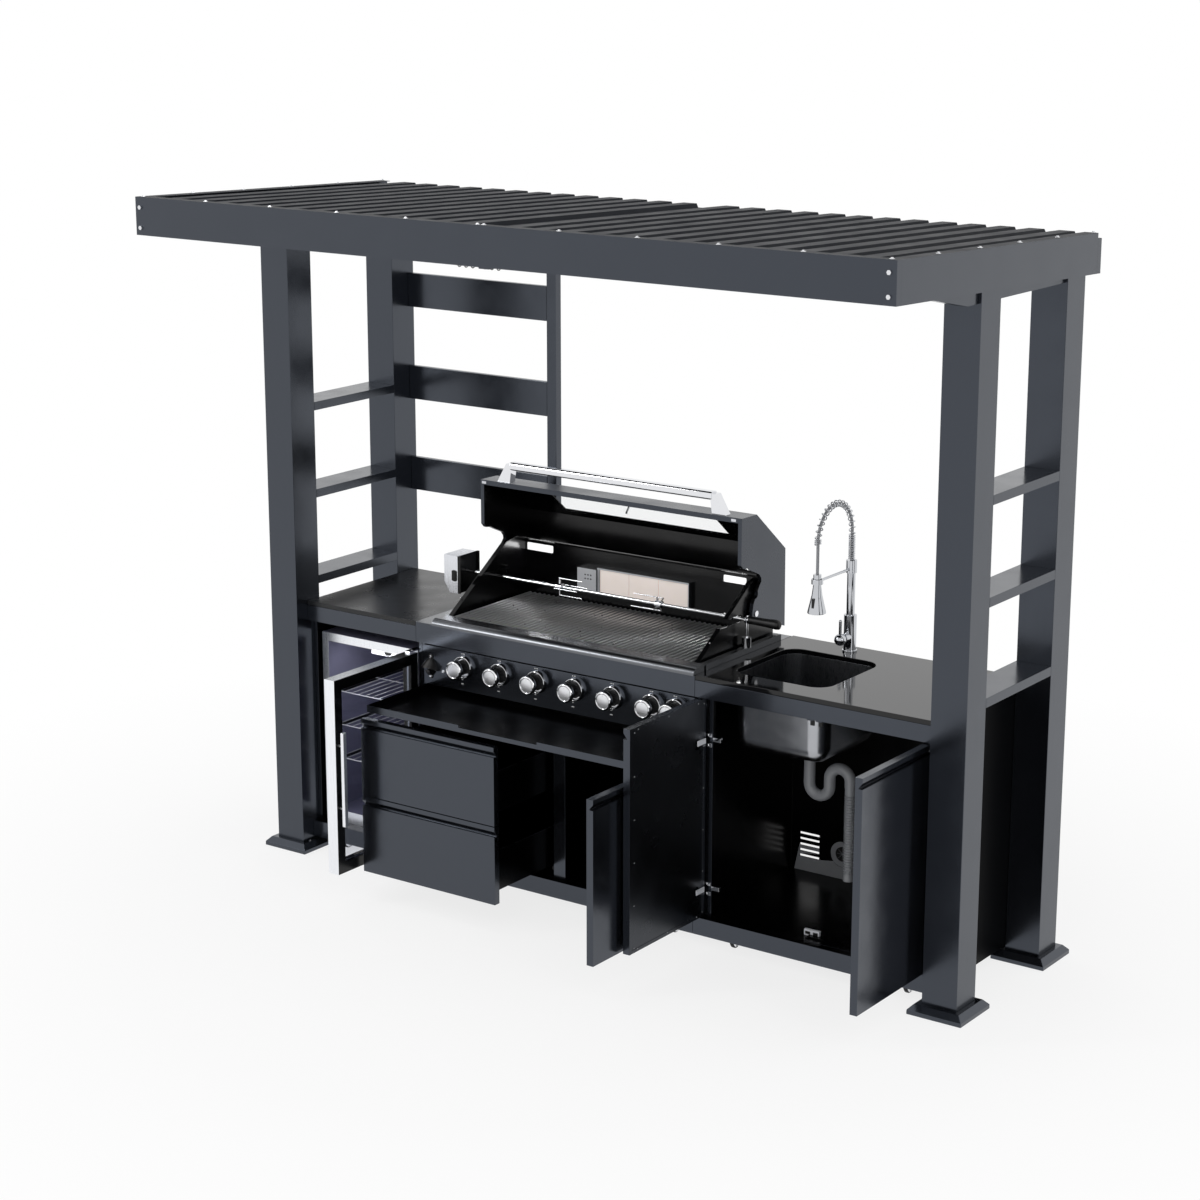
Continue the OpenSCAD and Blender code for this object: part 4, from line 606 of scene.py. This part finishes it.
def tint(node, finish, test):
    """Faces of a dressed node that pass the test, by their middle and normal, take another finish."""
    mesh = SHOWN[node].data
    mesh.materials.append(FINISHES[finish].data)
    index = len(mesh.materials) - 1
    for face in mesh.polygons:
        if test(face.center, face.normal):
            face.material_index = index


# Painted boxes. A face within SKIN of a box's side lies on that side.

SKIN = 0.001
CABINET_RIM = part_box("sink_cabinet")[0].y + 0.033
CABINET_FLOOR_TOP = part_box("sink_cabinet")[0].z + 0.0602
DRAWER_FRONT = 0.0245
DOOR_INSIDE = {"sink_left_door": 1, "sink_right_door": -1, "middle_door": -1}


def tint_cabinets():
    """Charcoal in front, and near-black copies of the paint within and at the sides: painted shade."""
    for node in ("fridge_cabinet", "grill_cabinet", "sink_cabinet"):
        lo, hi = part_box(node)
        tint(node, "shaded_inner_paint", lambda c, n: not (n.y < -0.5 and c.y < CABINET_RIM))
        tint(node, "shaded_side_paint", lambda c, n: (n.x > 0.5 and c.x > hi.x - SKIN)
             or (n.x < -0.5 and c.x < lo.x + SKIN))


def tint_doors():
    """The open doors: DOOR_INSIDE is the way in X that each one's inner face looks. That face and the door's
    edges take a darker copy of the paint, which is painted shade.
    """
    for node, way in DOOR_INSIDE.items():
        lo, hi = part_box(node)
        outer = lo.x if way > 0 else hi.x
        tint(node, "shaded_door_back", lambda c, n: n.x * way > 0.3
             or (abs(c.x - outer) > 0.0015 and abs(n.y) < 0.5 and abs(n.z) < 0.5))


def tint_drawers():
    """Painted shade behind the drawers' fronts, with painted light on their floor and left side. The tray
    takes the near-black shaded copy of the paint, with charcoal on its front.
    """
    for node in ("upper_drawer", "lower_drawer"):
        back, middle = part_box(node)[0].y + DRAWER_FRONT, centre(node).x
        tint(node, "shaded_inner_paint", lambda c, n: c.y > back)
        tint(node, "lit_drawer_paint", lambda c, n: c.y > back and (n.z > 0.5 or (n.x > 0.5 and c.x < middle)))
    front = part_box("drip_tray")[0].y + 0.002
    tint("drip_tray", "cabinet_paint", lambda c, n: c.y < front and n.y < -0.5)


# Grill parts with more than one finish

HOOD_LO, HOOD_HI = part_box("hood")
HOOD_MIDDLE_X = centre("hood").x
HOOD_INSIDE_Y, HOOD_INSIDE_Z = 0.4085, 1.186
HOOD_SIDE_EDGE = 0.0025
MOTOR_FRONT_WIDE = 0.0588
IGNITER_WIDE = 0.086


def hood_inside(c, n):
    """Whether a face of the hood looks to the space that it covers."""
    if abs(n.x) > 0.9:
        return HOOD_LO.x + SKIN < c.x < HOOD_HI.x - SKIN and (c.x - HOOD_MIDDLE_X) * n.x < 0
    inward = n.y * (HOOD_INSIDE_Y - c.y) + n.z * (HOOD_INSIDE_Z - c.z) > 0
    return inward and abs(n.y) + abs(n.z) > 0.5


def tint_grill():
    tint("hood", "enamel", hood_inside)
    tint("hood", "chrome_plate", lambda c, n: c.x < HOOD_LO.x + HOOD_SIDE_EDGE
         or c.x > HOOD_HI.x - HOOD_SIDE_EDGE)
    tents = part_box("gas_burners")[1].z - 0.026
    tint("gas_burners", "burner_steel", lambda c, n: c.z > tents)
    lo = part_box("rear_burner")[0]
    tint("rear_burner", "burner_plate", lambda c, n: n.y < -0.2)
    tint("rear_burner", "ceramic_tile", lambda c, n: n.y < -0.5 and lo.y + 0.012 < c.y < lo.y + 0.016
         and c.x > lo.x + IGNITER_WIDE)
    motor_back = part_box("spit_motor")[0].x + MOTOR_FRONT_WIDE + 0.0008
    tint("spit_motor", "enamel", lambda c, n: c.x > motor_back)
    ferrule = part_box("spit_handle")[0].x + 0.005
    tint("spit_handle", "chrome_plate", lambda c, n: c.x < ferrule)


# Grill details


def make_motor_switch():
    """A rocker in an eight-sided frame, on the motor's front."""
    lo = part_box("spit_motor")[0]
    x, z = lo.x + MOTOR_FRONT_WIDE - 0.0135, lo.z + 0.063
    tall, tall_cut, wide, wide_cut = 0.020, 0.016, 0.011, 0.006
    corners = ((-tall, -wide_cut), (-tall_cut, -wide), (tall_cut, -wide), (tall, -wide_cut),
               (tall, wide_cut), (tall_cut, wide), (-tall_cut, wide), (-tall, wide_cut))
    bm = bmesh.new()
    add_prism(bm, [(z + dz, x + dx) for dz, dx in corners], 1, lo.y - 0.0022, lo.y)
    round_edges(bm, 0.0006)
    add_box(bm, (x - 0.0055, lo.y - 0.0042, z - 0.012), (x + 0.0055, lo.y - 0.002, z + 0.012), 0.0008)
    piece("motor_switch", bm, "black_plastic", "spit_motor")


def make_plate_rivets():
    """Two rivets in each side plate."""
    bm = bmesh.new()
    lo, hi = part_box("firebox")
    for y, z in ((0.150, 0.994), (0.117, 0.985)):
        for x in (lo.x + 0.003, hi.x - 0.003):
            add_screw(bm, (x, y, z), TO_RIGHT, 0.0035, 0.0022)
    piece("plate_rivets", bm, "chrome_plate", "firebox")


def make_lamp_lenses():
    """Lenses behind the two slots of the firebox."""
    bm = bmesh.new()
    lo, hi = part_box("firebox")
    for x0, x1, low in ((lo.x + 0.008, lo.x + 0.1195, 0.066), (hi.x - 0.1945, hi.x - 0.1055, 0.0635)):
        add_box(bm, (x0, hi.y - 0.0075, hi.z - low), (x1, hi.y + 0.001, hi.z - 0.0395), 0.0036, 3)
    piece("lamp_lenses", bm, "lamp_lens", "firebox")


def plate_edge(z):
    """How far back the sloped edge of the side plates is at a height."""
    foot_y, foot_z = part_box("firebox")[0].y + 0.016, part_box("grill_trim")[1].z - 0.006
    back_per_rise = 1.495
    return foot_y + (z - foot_z) * back_per_rise


def make_rod_seat():
    """A closed seat round the rod in the left side plate."""
    rod, plate_x = centre("spit_handle"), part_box("firebox")[0].x
    low, top, back = rod.z - 0.0122, rod.z + 0.0122, rod.y + 0.010
    bm = bmesh.new()
    add_prism(bm, [(plate_edge(low), low), (back, low), (back, top), (plate_edge(top), top)], 0,
              plate_x + 0.0002, plate_x + 0.0030)
    piece("rod_seat", bm, "enamel", "firebox")


def make_rail_screws():
    """Flat screws of the rail beside the hood."""
    bm = bmesh.new()
    for y in (0.157, 0.207):
        add_screw(bm, (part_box("grill_trim")[1].x - 0.0003, y, 0.9265), TO_RIGHT, 0.0045, 0.0002)
    piece("small_screws", bm, "chrome_plate", "grill_trim")


def make_lip_rests():
    """White rests at the ends of the hood's front lip."""
    bm = bmesh.new()
    for x in (HOOD_LO.x + 0.009, HOOD_HI.x - 0.044):
        add_box(bm, (x, HOOD_LO.y - 0.0012, HOOD_HI.z - 0.0135),
                (x + 0.018, HOOD_LO.y + 0.002, HOOD_HI.z - 0.0045), 0.0006)
    piece("lip_rests", bm, "white_plastic", "hood")


def make_thermometer_dial():
    """A white face with eleven marks and a needle, square to the hood's slant."""
    out, down = Vector((0, 0.6304, 0.7763)), Vector((0, 0.7763, -0.6304))
    face = Vector((centre("thermometer").x, 0.4026, 1.3309)) + out * 0.0094

    def ray(degrees):
        a = math.radians(degrees)
        return TO_RIGHT * math.sin(a) - down * math.cos(a)

    bm = bmesh.new()
    add_disc(bm, 0.0215, 0.0004, face, out)
    piece("thermometer_face", bm, "white_plastic", "thermometer")
    bm = bmesh.new()
    for k in range(11):
        add_tube(bm, [face + out * 0.0006 + ray(-130 + 26 * k) * r for r in (0.0155, 0.0195)], 0.0005, 6)
    add_tube(bm, [face + out * 0.0010 + ray(-110) * r for r in (-0.004, 0.015)], 0.0008, 6)
    add_disc(bm, 0.0028, 0.0018, face, out, 20)
    piece("thermometer_marks", bm, "black_plastic", "thermometer")


# Controls. The knobs turn about -Y, and the panel's face is at PANEL_Y.

PANEL_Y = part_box("knob_bezels")[1].y
KNOB_CAP = 0.018


def ribbed_outline(x, z):
    """The grip's outline: 24 ribs, each of four points."""
    outline = []
    for k in range(96):
        r = 0.025 if k % 4 < 2 else 0.0234
        a = 2 * math.pi * k / 96
        outline.append((z + r * math.sin(a), x + r * math.cos(a)))
    return outline


def make_knob(name):
    """A ribbed black body, a chrome rim and a satin domed centre, with a bright pointer."""
    lo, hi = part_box(name)
    x, z = (lo.x + hi.x) / 2, (lo.z + hi.z) / 2
    r, deep = (hi.x - lo.x) / 2, hi.y - lo.y
    cap, at = deep - KNOB_CAP, (x, hi.y, z)
    bm = bmesh.new()
    add_prism(bm, ribbed_outline(x, z), 1, hi.y - cap - 0.001, hi.y)
    body = piece(f"{name}_body", bm, "black_plastic", name)
    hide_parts(name)
    bm = bmesh.new()
    rim = [(0.0, cap), (0.0265, cap), (r - 0.0032, cap + 0.0006), (r - 0.0008, cap + 0.0024),
           (r, cap + 0.0050), (r, deep - 0.0052), (r - 0.0006, deep - 0.0036), (r - 0.0022, deep - 0.0014),
           (r - 0.0044, deep - 0.0003), (r - 0.0060, deep), (r - 0.0074, deep - 0.0006),
           (r - 0.0086, deep - 0.0030), (0.0, deep - 0.0030)]
    add_turned(bm, rim, at, TO_FRONT, 64)
    piece(f"{name}_rim", bm, "chrome_plate", name)
    bm = bmesh.new()
    dome = [(0.0, deep - 0.0031)]
    for k in range(10):
        part = 1 - k / 9
        dome.append(((r - 0.0092) * part, deep - 0.0022 + 0.0016 * (1 - part * part)))
    add_turned(bm, dome, at, TO_FRONT, 64)
    piece(f"{name}_centre", bm, "satin_cap", name, 50.0)
    bm = bmesh.new()
    add_box(bm, (x - 0.0008, lo.y + 0.0006, z + 0.0155), (x + 0.0008, lo.y + 0.0022, z + 0.0205))
    piece(f"{name}_pointer", bm, "chrome_plate", name)


def make_rings():
    """The raised ring round each knob, its dark recess and the small marks beside it."""
    lo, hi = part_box("knob_bezels")
    r = (hi.z - lo.z) / 2
    ring = [(0.020, 0.0), (r, 0.0), (r, 0.0030), (r - 0.0018, 0.0118), (r - 0.0026, 0.0134),
            (r - 0.0038, 0.0140), (r - 0.0050, 0.0134), (r - 0.0060, 0.0118), (0.0322, 0.0060),
            (0.0306, 0.0072), (0.0292, 0.0070), (0.0284, 0.0040), (0.0215, 0.0038), (0.020, 0.0030)]
    recess = [(0.0328, 0.0066), (0.0350, 0.0116), (0.0347, 0.0119), (0.0322, 0.0066)]
    marks = ((-0.0110, -0.0065, 0.0436, 0.0464), (-0.0030, 0.0025, 0.0436, 0.0464),
             (-0.0130, -0.0030, -0.0628, -0.0598), (-0.0110, -0.0045, -0.0472, -0.0457))
    rings, dark, printed = bmesh.new(), bmesh.new(), bmesh.new()
    for name in KNOBS:
        middle = centre(name)
        x, z = middle.x, middle.z
        add_turned(rings, ring, (x, PANEL_Y, z), TO_FRONT, 56)
        add_turned(dark, recess, (x, PANEL_Y, z), TO_FRONT, 56)
        for x0, x1, z0, z1 in marks:
            add_box(printed, (x + x0, PANEL_Y - 0.0003, z + z0), (x + x1, PANEL_Y, z + z1))
    o = piece("knob_rings", rings, "chrome_plate", "knob_bezels")
    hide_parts("knob_bezels")
    piece("knob_ring_recess", dark, "black_plastic", "control_panel")
    piece("knob_marks", printed, "mark_paint", "control_panel")


# Bottle opener, with the lamp button beside it

OPENER_X, OPENER_Y = centre("bottle_opener").x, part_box("bottle_opener")[1].y
LUG_TOP_Z, LUG_FOOT_Z = 0.795, 0.725
SHELL_ROWS, SHELL_STEPS, SHELL_WALL = 8, 24, 0.0028


def add_lug(bm, z, way):
    """A flat lug with a round end, which points away from the mouth."""
    end_r = 0.0085
    outline = [(z + way * 0.026, OPENER_X + 0.011), (z + way * 0.026, OPENER_X - 0.011)]
    for k in range(13):
        a = math.pi * k / 12
        outline.append((z - way * end_r * math.sin(a), OPENER_X - end_r * math.cos(a)))
    add_prism(bm, outline, 1, OPENER_Y - 0.004, OPENER_Y)


def shell_ring(bm, t, inset):
    """One arc of the mouth, from its neck at 0 to its lip at 1."""
    wide = 0.008 + 0.029 * t ** 0.6 - inset
    out = 0.0045 + 0.0300 * t - inset
    ring = []
    for k in range(SHELL_STEPS + 1):
        a = math.pi * k / SHELL_STEPS
        drop = 0.007 + 0.026 * t + 0.014 * t * abs(math.cos(a)) ** 3
        ring.append(bm.verts.new((OPENER_X - wide * math.cos(a), OPENER_Y - 0.001 - out * math.sin(a),
                                  LUG_TOP_Z - drop)))
    return ring


def add_shell(bm):
    """The bell-shaped mouth, of sheet with a closed rim."""
    outer, inner = ([shell_ring(bm, i / SHELL_ROWS, inset) for i in range(SHELL_ROWS + 1)]
                    for inset in (0.0, SHELL_WALL))
    for sheet in (outer, inner):
        for a, b in zip(sheet, sheet[1:]):
            for k in range(SHELL_STEPS):
                bm.faces.new((a[k], a[k + 1], b[k + 1], b[k]))
    for i in (0, SHELL_ROWS):
        for k in range(SHELL_STEPS):
            bm.faces.new((outer[i][k], outer[i][k + 1], inner[i][k + 1], inner[i][k]))
    for k in (0, SHELL_STEPS):
        for i in range(SHELL_ROWS):
            bm.faces.new((outer[i][k], outer[i + 1][k], inner[i + 1][k], inner[i][k]))
    bmesh.ops.recalc_face_normals(bm, faces=bm.faces)


def make_opener():
    """A shell-shaped mouth between two screwed lugs, a tongue in it, and the lamp button."""
    bm = bmesh.new()
    add_lug(bm, LUG_TOP_Z, -1)
    add_lug(bm, LUG_FOOT_Z, 1)
    round_edges(bm, 0.0008)
    add_shell(bm)
    tongue = [(0.0, 0.004), (0.006, 0.004), (0.020, 0.020), (0.020, 0.026), (0.0, 0.024)]
    add_prism(bm, [(OPENER_Y - out, LUG_FOOT_Z + rise) for out, rise in tongue], 0,
              OPENER_X - 0.010, OPENER_X + 0.010)
    o = piece("opener_body", bm, "opener_black", "bottle_opener", 40.0)
    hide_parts("bottle_opener")
    bm = bmesh.new()
    for z in (LUG_TOP_Z, LUG_FOOT_Z):
        add_screw(bm, (OPENER_X, OPENER_Y - 0.0035, z), TO_FRONT, 0.0048, 0.0026)
    button = [(0.0, 0.0), (0.0064, 0.0), (0.0064, 0.0026), (0.0056, 0.0036), (0.0046, 0.0036),
              (0.0040, 0.0028), (0.0, 0.0034)]
    add_turned(bm, button, (OPENER_X + 0.055, OPENER_Y, 0.750), TO_FRONT, 32)
    piece("opener_screws", bm, "chrome_plate", "bottle_opener")


# Faucet and sink


def make_spring():
    """The faucet's wire, wound round the hose from the sleeve to the spray head."""
    lo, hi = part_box("faucet_spring")
    x = (lo.x + hi.x) / 2
    wire_r, curl_r, steps = 0.002, 0.010, 16
    column_y, spray_y = hi.y - wire_r - curl_r, lo.y + wire_r + curl_r
    bend = (column_y - spray_y) / 2
    base, arch_z = lo.z, hi.z - wire_r - curl_r - bend
    rise, half = arch_z - base, math.pi * bend
    close, wide, low_turns, wide_turns, top_turns = 0.006, 0.020, 14, 17, 3
    turns = low_turns + wide_turns + top_turns

    def run(t):
        """The length of hose under the first t turns."""
        loose = min(max(t - low_turns, 0), wide_turns)
        return (t - loose) * close + loose * wide

    def place(s, turn):
        """The wire's middle at a length along the hose."""
        a = 2 * math.pi * turn
        bent = min(max((s - rise) / bend, 0.0), math.pi)
        if s < rise:
            middle = Vector((x, column_y, base + s))
        elif s < rise + half:
            middle = Vector((x, column_y - bend + bend * math.cos(bent), arch_z + bend * math.sin(bent)))
        else:
            middle = Vector((x, spray_y, arch_z - (s - rise - half)))
        out = Vector((0, math.cos(bent), math.sin(bent)))
        return middle + curl_r * (math.cos(a) * out + math.sin(a) * TO_RIGHT)

    points = [place(wire_r + run(i / steps), i / steps) for i in range(turns * steps + 1)]
    bm = bmesh.new()
    add_tube(bm, points, wire_r, 8)
    o = piece("faucet_spring_wire", bm, "faucet_chrome", "faucet_spring", 60.0)
    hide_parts("faucet_spring")


def make_spray_details():
    """The hose above the sleeve is grey, and the spray head has a button and a dark sieve."""
    sleeve_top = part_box("faucet_spring")[0].z + 0.0002
    tint("faucet_spout", "grey_plastic", lambda c, n: c.z > sleeve_top)
    middle, foot = centre("spray_head"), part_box("spray_head")[0].z
    x, y = middle.x, middle.y
    bm = bmesh.new()
    add_box(bm, (x - 0.0045, y - 0.0268, foot + 0.020), (x + 0.0045, y - 0.018, foot + 0.052), 0.0015)
    add_disc(bm, 0.0215, 0.002, (x, y, foot + 0.0062), UP)
    piece("spray_button", bm, "black_plastic", "spray_head")


def make_pipe_hole():
    """The grey grommet in the sink cabinet's back, and its skin with a star of slits."""
    hole, grommet_r, slit_r = Vector((0.602, 0.5562, 0.190)), 0.036, 0.022
    back_panel_y = 0.54
    tint("sink_cabinet", "grey_plastic", lambda c, n: c.y > back_panel_y
         and math.hypot(c.x - hole.x, c.z - hole.z) < grommet_r)
    bm = bmesh.new()
    add_disc(bm, 0.0258, 0.0016, hole + TO_FRONT * 0.001, TO_BACK)
    piece("pipe_hole_skin", bm, "seal_rubber", "sink_cabinet")
    bm = bmesh.new()
    for a in (0, 45, 90, 135):
        ray = Vector((math.cos(math.radians(a)), 0, math.sin(math.radians(a)))) * slit_r
        add_tube(bm, [hole + TO_FRONT * 0.0011 + side * ray for side in (-1, 1)], 0.0006, 6)
    piece("pipe_hole_slits", bm, "grey_plastic", "sink_cabinet")


def make_catches():
    """The white catch plate on the floor, and the pads on it and under the counter."""
    plate_x0, plate_x1, floor = 0.760, 0.817, CABINET_FLOOR_TOP
    bm = bmesh.new()
    add_box(bm, (plate_x0, 0.050, floor), (plate_x1, 0.061, floor + 0.021), 0.001)
    piece("catch_plate", bm, "white_plastic", "sink_cabinet")
    bm = bmesh.new()
    for x in (plate_x0 + 0.014, plate_x1 - 0.014):
        add_box(bm, (x - 0.009, 0.0485, floor + 0.006), (x + 0.009, 0.0505, floor + 0.015), 0.0006)
    for x in (0.802, 0.832):
        add_box(bm, (x - 0.007, 0.004, 0.818), (x + 0.007, 0.010, 0.834), 0.001)
    piece("catch_pads", bm, "black_plastic", "sink_cabinet")


def make_sink_details():
    make_spray_details()
    middle = centre("sink_bowl")
    # The bowl's outer faces take the lighter steel, and the inside keeps the darker copy: painted shade.
    tint("sink_bowl", "bowl_back", lambda c, n: n.dot(c - middle) > 0)
    make_pipe_hole()
    make_catches()


# Doors' hinges, at the same heights on each door, and rivets on the doors of the sink cabinet

RIVET_R, RIVET_HIGH = 0.0022, 0.0012


def add_hinge_arm(bm, inner, way, z):
    """A hinge's plate on the stile, with two screws, and the arm from it to the door."""
    a, b = sorted((inner - way * 0.013, inner + way * 0.017))
    for z0, z1 in ((z - 0.023, z - 0.0105), (z + 0.0105, z + 0.023)):
        add_box(bm, (a, 0.0062, z0), (b, 0.0096, z1), 0.0008)
    for side in (-1, 1):
        add_screw(bm, ((a + b) / 2, 0.0064, z + side * 0.0167), TO_FRONT, 0.0042, 0.0018)
    a, b = sorted((inner + way * 0.014, inner + way * 0.048))
    add_box(bm, (a, 0.010, z - 0.004), (b, 0.022, z + 0.010), 0.001)


def make_rivets(node, face, way, bottom, top):
    """A row of rivets along each edge of a door's inner face."""
    lo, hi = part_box(node)
    bm = bmesh.new()
    for k in range(6):
        z = bottom + 0.019 + k * (top - bottom - 0.038) / 5
        for y in (lo.y + 0.025, hi.y - 0.012):
            add_screw(bm, (face, y, z), (way, 0, 0), RIVET_R, RIVET_HIGH)
    for k in range(3):
        y = lo.y + 0.045 + k * (hi.y - lo.y - 0.09) / 2
        for z in (bottom + 0.012, top - 0.012):
            add_screw(bm, (face, y, z), (way, 0, 0), RIVET_R, RIVET_HIGH)
    piece(f"{node}_rivets", bm, "grey_plastic", node)


def make_hinges():
    """Hinge plates on the doors' inner faces, which are flatter on the middle door, where none is seen."""
    arms = bmesh.new()
    for node, way in DOOR_INSIDE.items():
        lo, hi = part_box(node)
        inner = hi.x if way > 0 else lo.x
        bottom, top = lo.z + 0.012, hi.z - 0.012
        seen = node != "middle_door"
        bm = bmesh.new()
        for z in (bottom + 0.095, top - 0.145):
            a, b = sorted((inner - way * 0.002, inner + way * (0.0018 if seen else 0.0004)))
            add_box(bm, (a, -0.050, z - 0.009), (b, -0.004, z + 0.009), 0.001)
            add_hinge_arm(arms, inner, way, z)
        piece(f"{node}_hinges", bm, "white_plastic", node)
        if seen:
            make_rivets(node, inner - way * 0.0003, way, bottom, top)
    piece("hinge_arms", arms, "chrome_plate", "sink_cabinet")


# Fridge, casters and small lamps

FRIDGE_FRONT_Y = 0.0235
FRIDGE_WALL = 0.028
DOOR_SEAL_X = -0.783


def make_fridge_details():
    """Steel front, black shelf rails, a flat pull over the handle's bar, and a black seal and inner edge."""
    lo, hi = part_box("fridge_body")
    tint("fridge_body", "frame_steel", lambda c, n: n.y < -0.5 and c.y < FRIDGE_FRONT_Y + SKIN)
    tint("fridge_body", "chrome_plate", lambda c, n: c.y < FRIDGE_FRONT_Y - SKIN)
    wall_l, wall_r, near, far = lo.x + FRIDGE_WALL, hi.x - FRIDGE_WALL, 0.0004, 0.0062
    tint("fridge_body", "black_plastic", lambda c, n: c.y > FRIDGE_FRONT_Y + 0.01 and (
        wall_l + near < c.x < wall_l + far or wall_r - far < c.x < wall_r - near))
    lo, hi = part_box("fridge_door")
    bm = bmesh.new()
    add_box(bm, (hi.x - 0.0125, lo.y + 0.005, lo.z + 0.1865), (hi.x + 0.0005, lo.y + 0.0235, lo.z + 0.5175),
            0.003, 3)
    piece("fridge_pull", bm, "frame_steel", "fridge_door")
    window = 0.034
    tint("fridge_door", "enamel", lambda c, n: (n.x > 0.5 and abs(c.x - DOOR_SEAL_X) < SKIN)
         or (lo.y + window < c.y < hi.y - 0.030 and lo.z + window < c.z < hi.z - window and abs(n.x) < 0.5
             and c.x < DOOR_SEAL_X))


def make_small_lamps():
    """The fridge's lamp and the two lamps of the grill."""
    lo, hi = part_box("thermostat_housing")
    middle = (lo.x + hi.x) / 2
    area_light("fridge lamp", (middle, lo.y - 0.035, hi.z - 0.004), (middle, hi.y + 0.1, 0.35),
               (0.20, 0.03), 0.4)
    lo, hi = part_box("firebox")
    for side, x in (("left", lo.x + 0.070), ("right", hi.x - 0.150)):
        at = (x, hi.y - 0.020, hi.z - 0.052)
        area_light(f"{side} grill lamp", at, (x, lo.y + 0.10, hi.z - 0.212), (0.090, 0.022), 0.07)


def tint_casters():
    """Grey wheels in rubber tyres, with bright hubs."""
    for node in ("front_caster_wheels", "rear_caster_wheels"):
        axle, hub_r, wheel_r = centre(node), 0.0125, 0.0215
        tint(node, "grey_plastic", lambda c, n: math.hypot(c.y - axle.y, c.z - axle.z) < wheel_r
             and abs(n.x) > 0.5)
        tint(node, "bright_steel", lambda c, n: math.hypot(c.y - axle.y, c.z - axle.z) < hub_r)


tint("roof_fascias", "roof_paint", lambda c, n: n.z > 0.6)
tint_cabinets()
tint_doors()
tint_drawers()
tint_grill()
make_motor_switch()
make_plate_rivets()
make_lamp_lenses()
make_rod_seat()
make_rail_screws()
make_lip_rests()
make_thermometer_dial()
make_rings()
for knob in KNOBS:
    make_knob(knob)
make_opener()
make_spring()
make_sink_details()
make_hinges()
make_fridge_details()
make_small_lamps()
tint_casters()
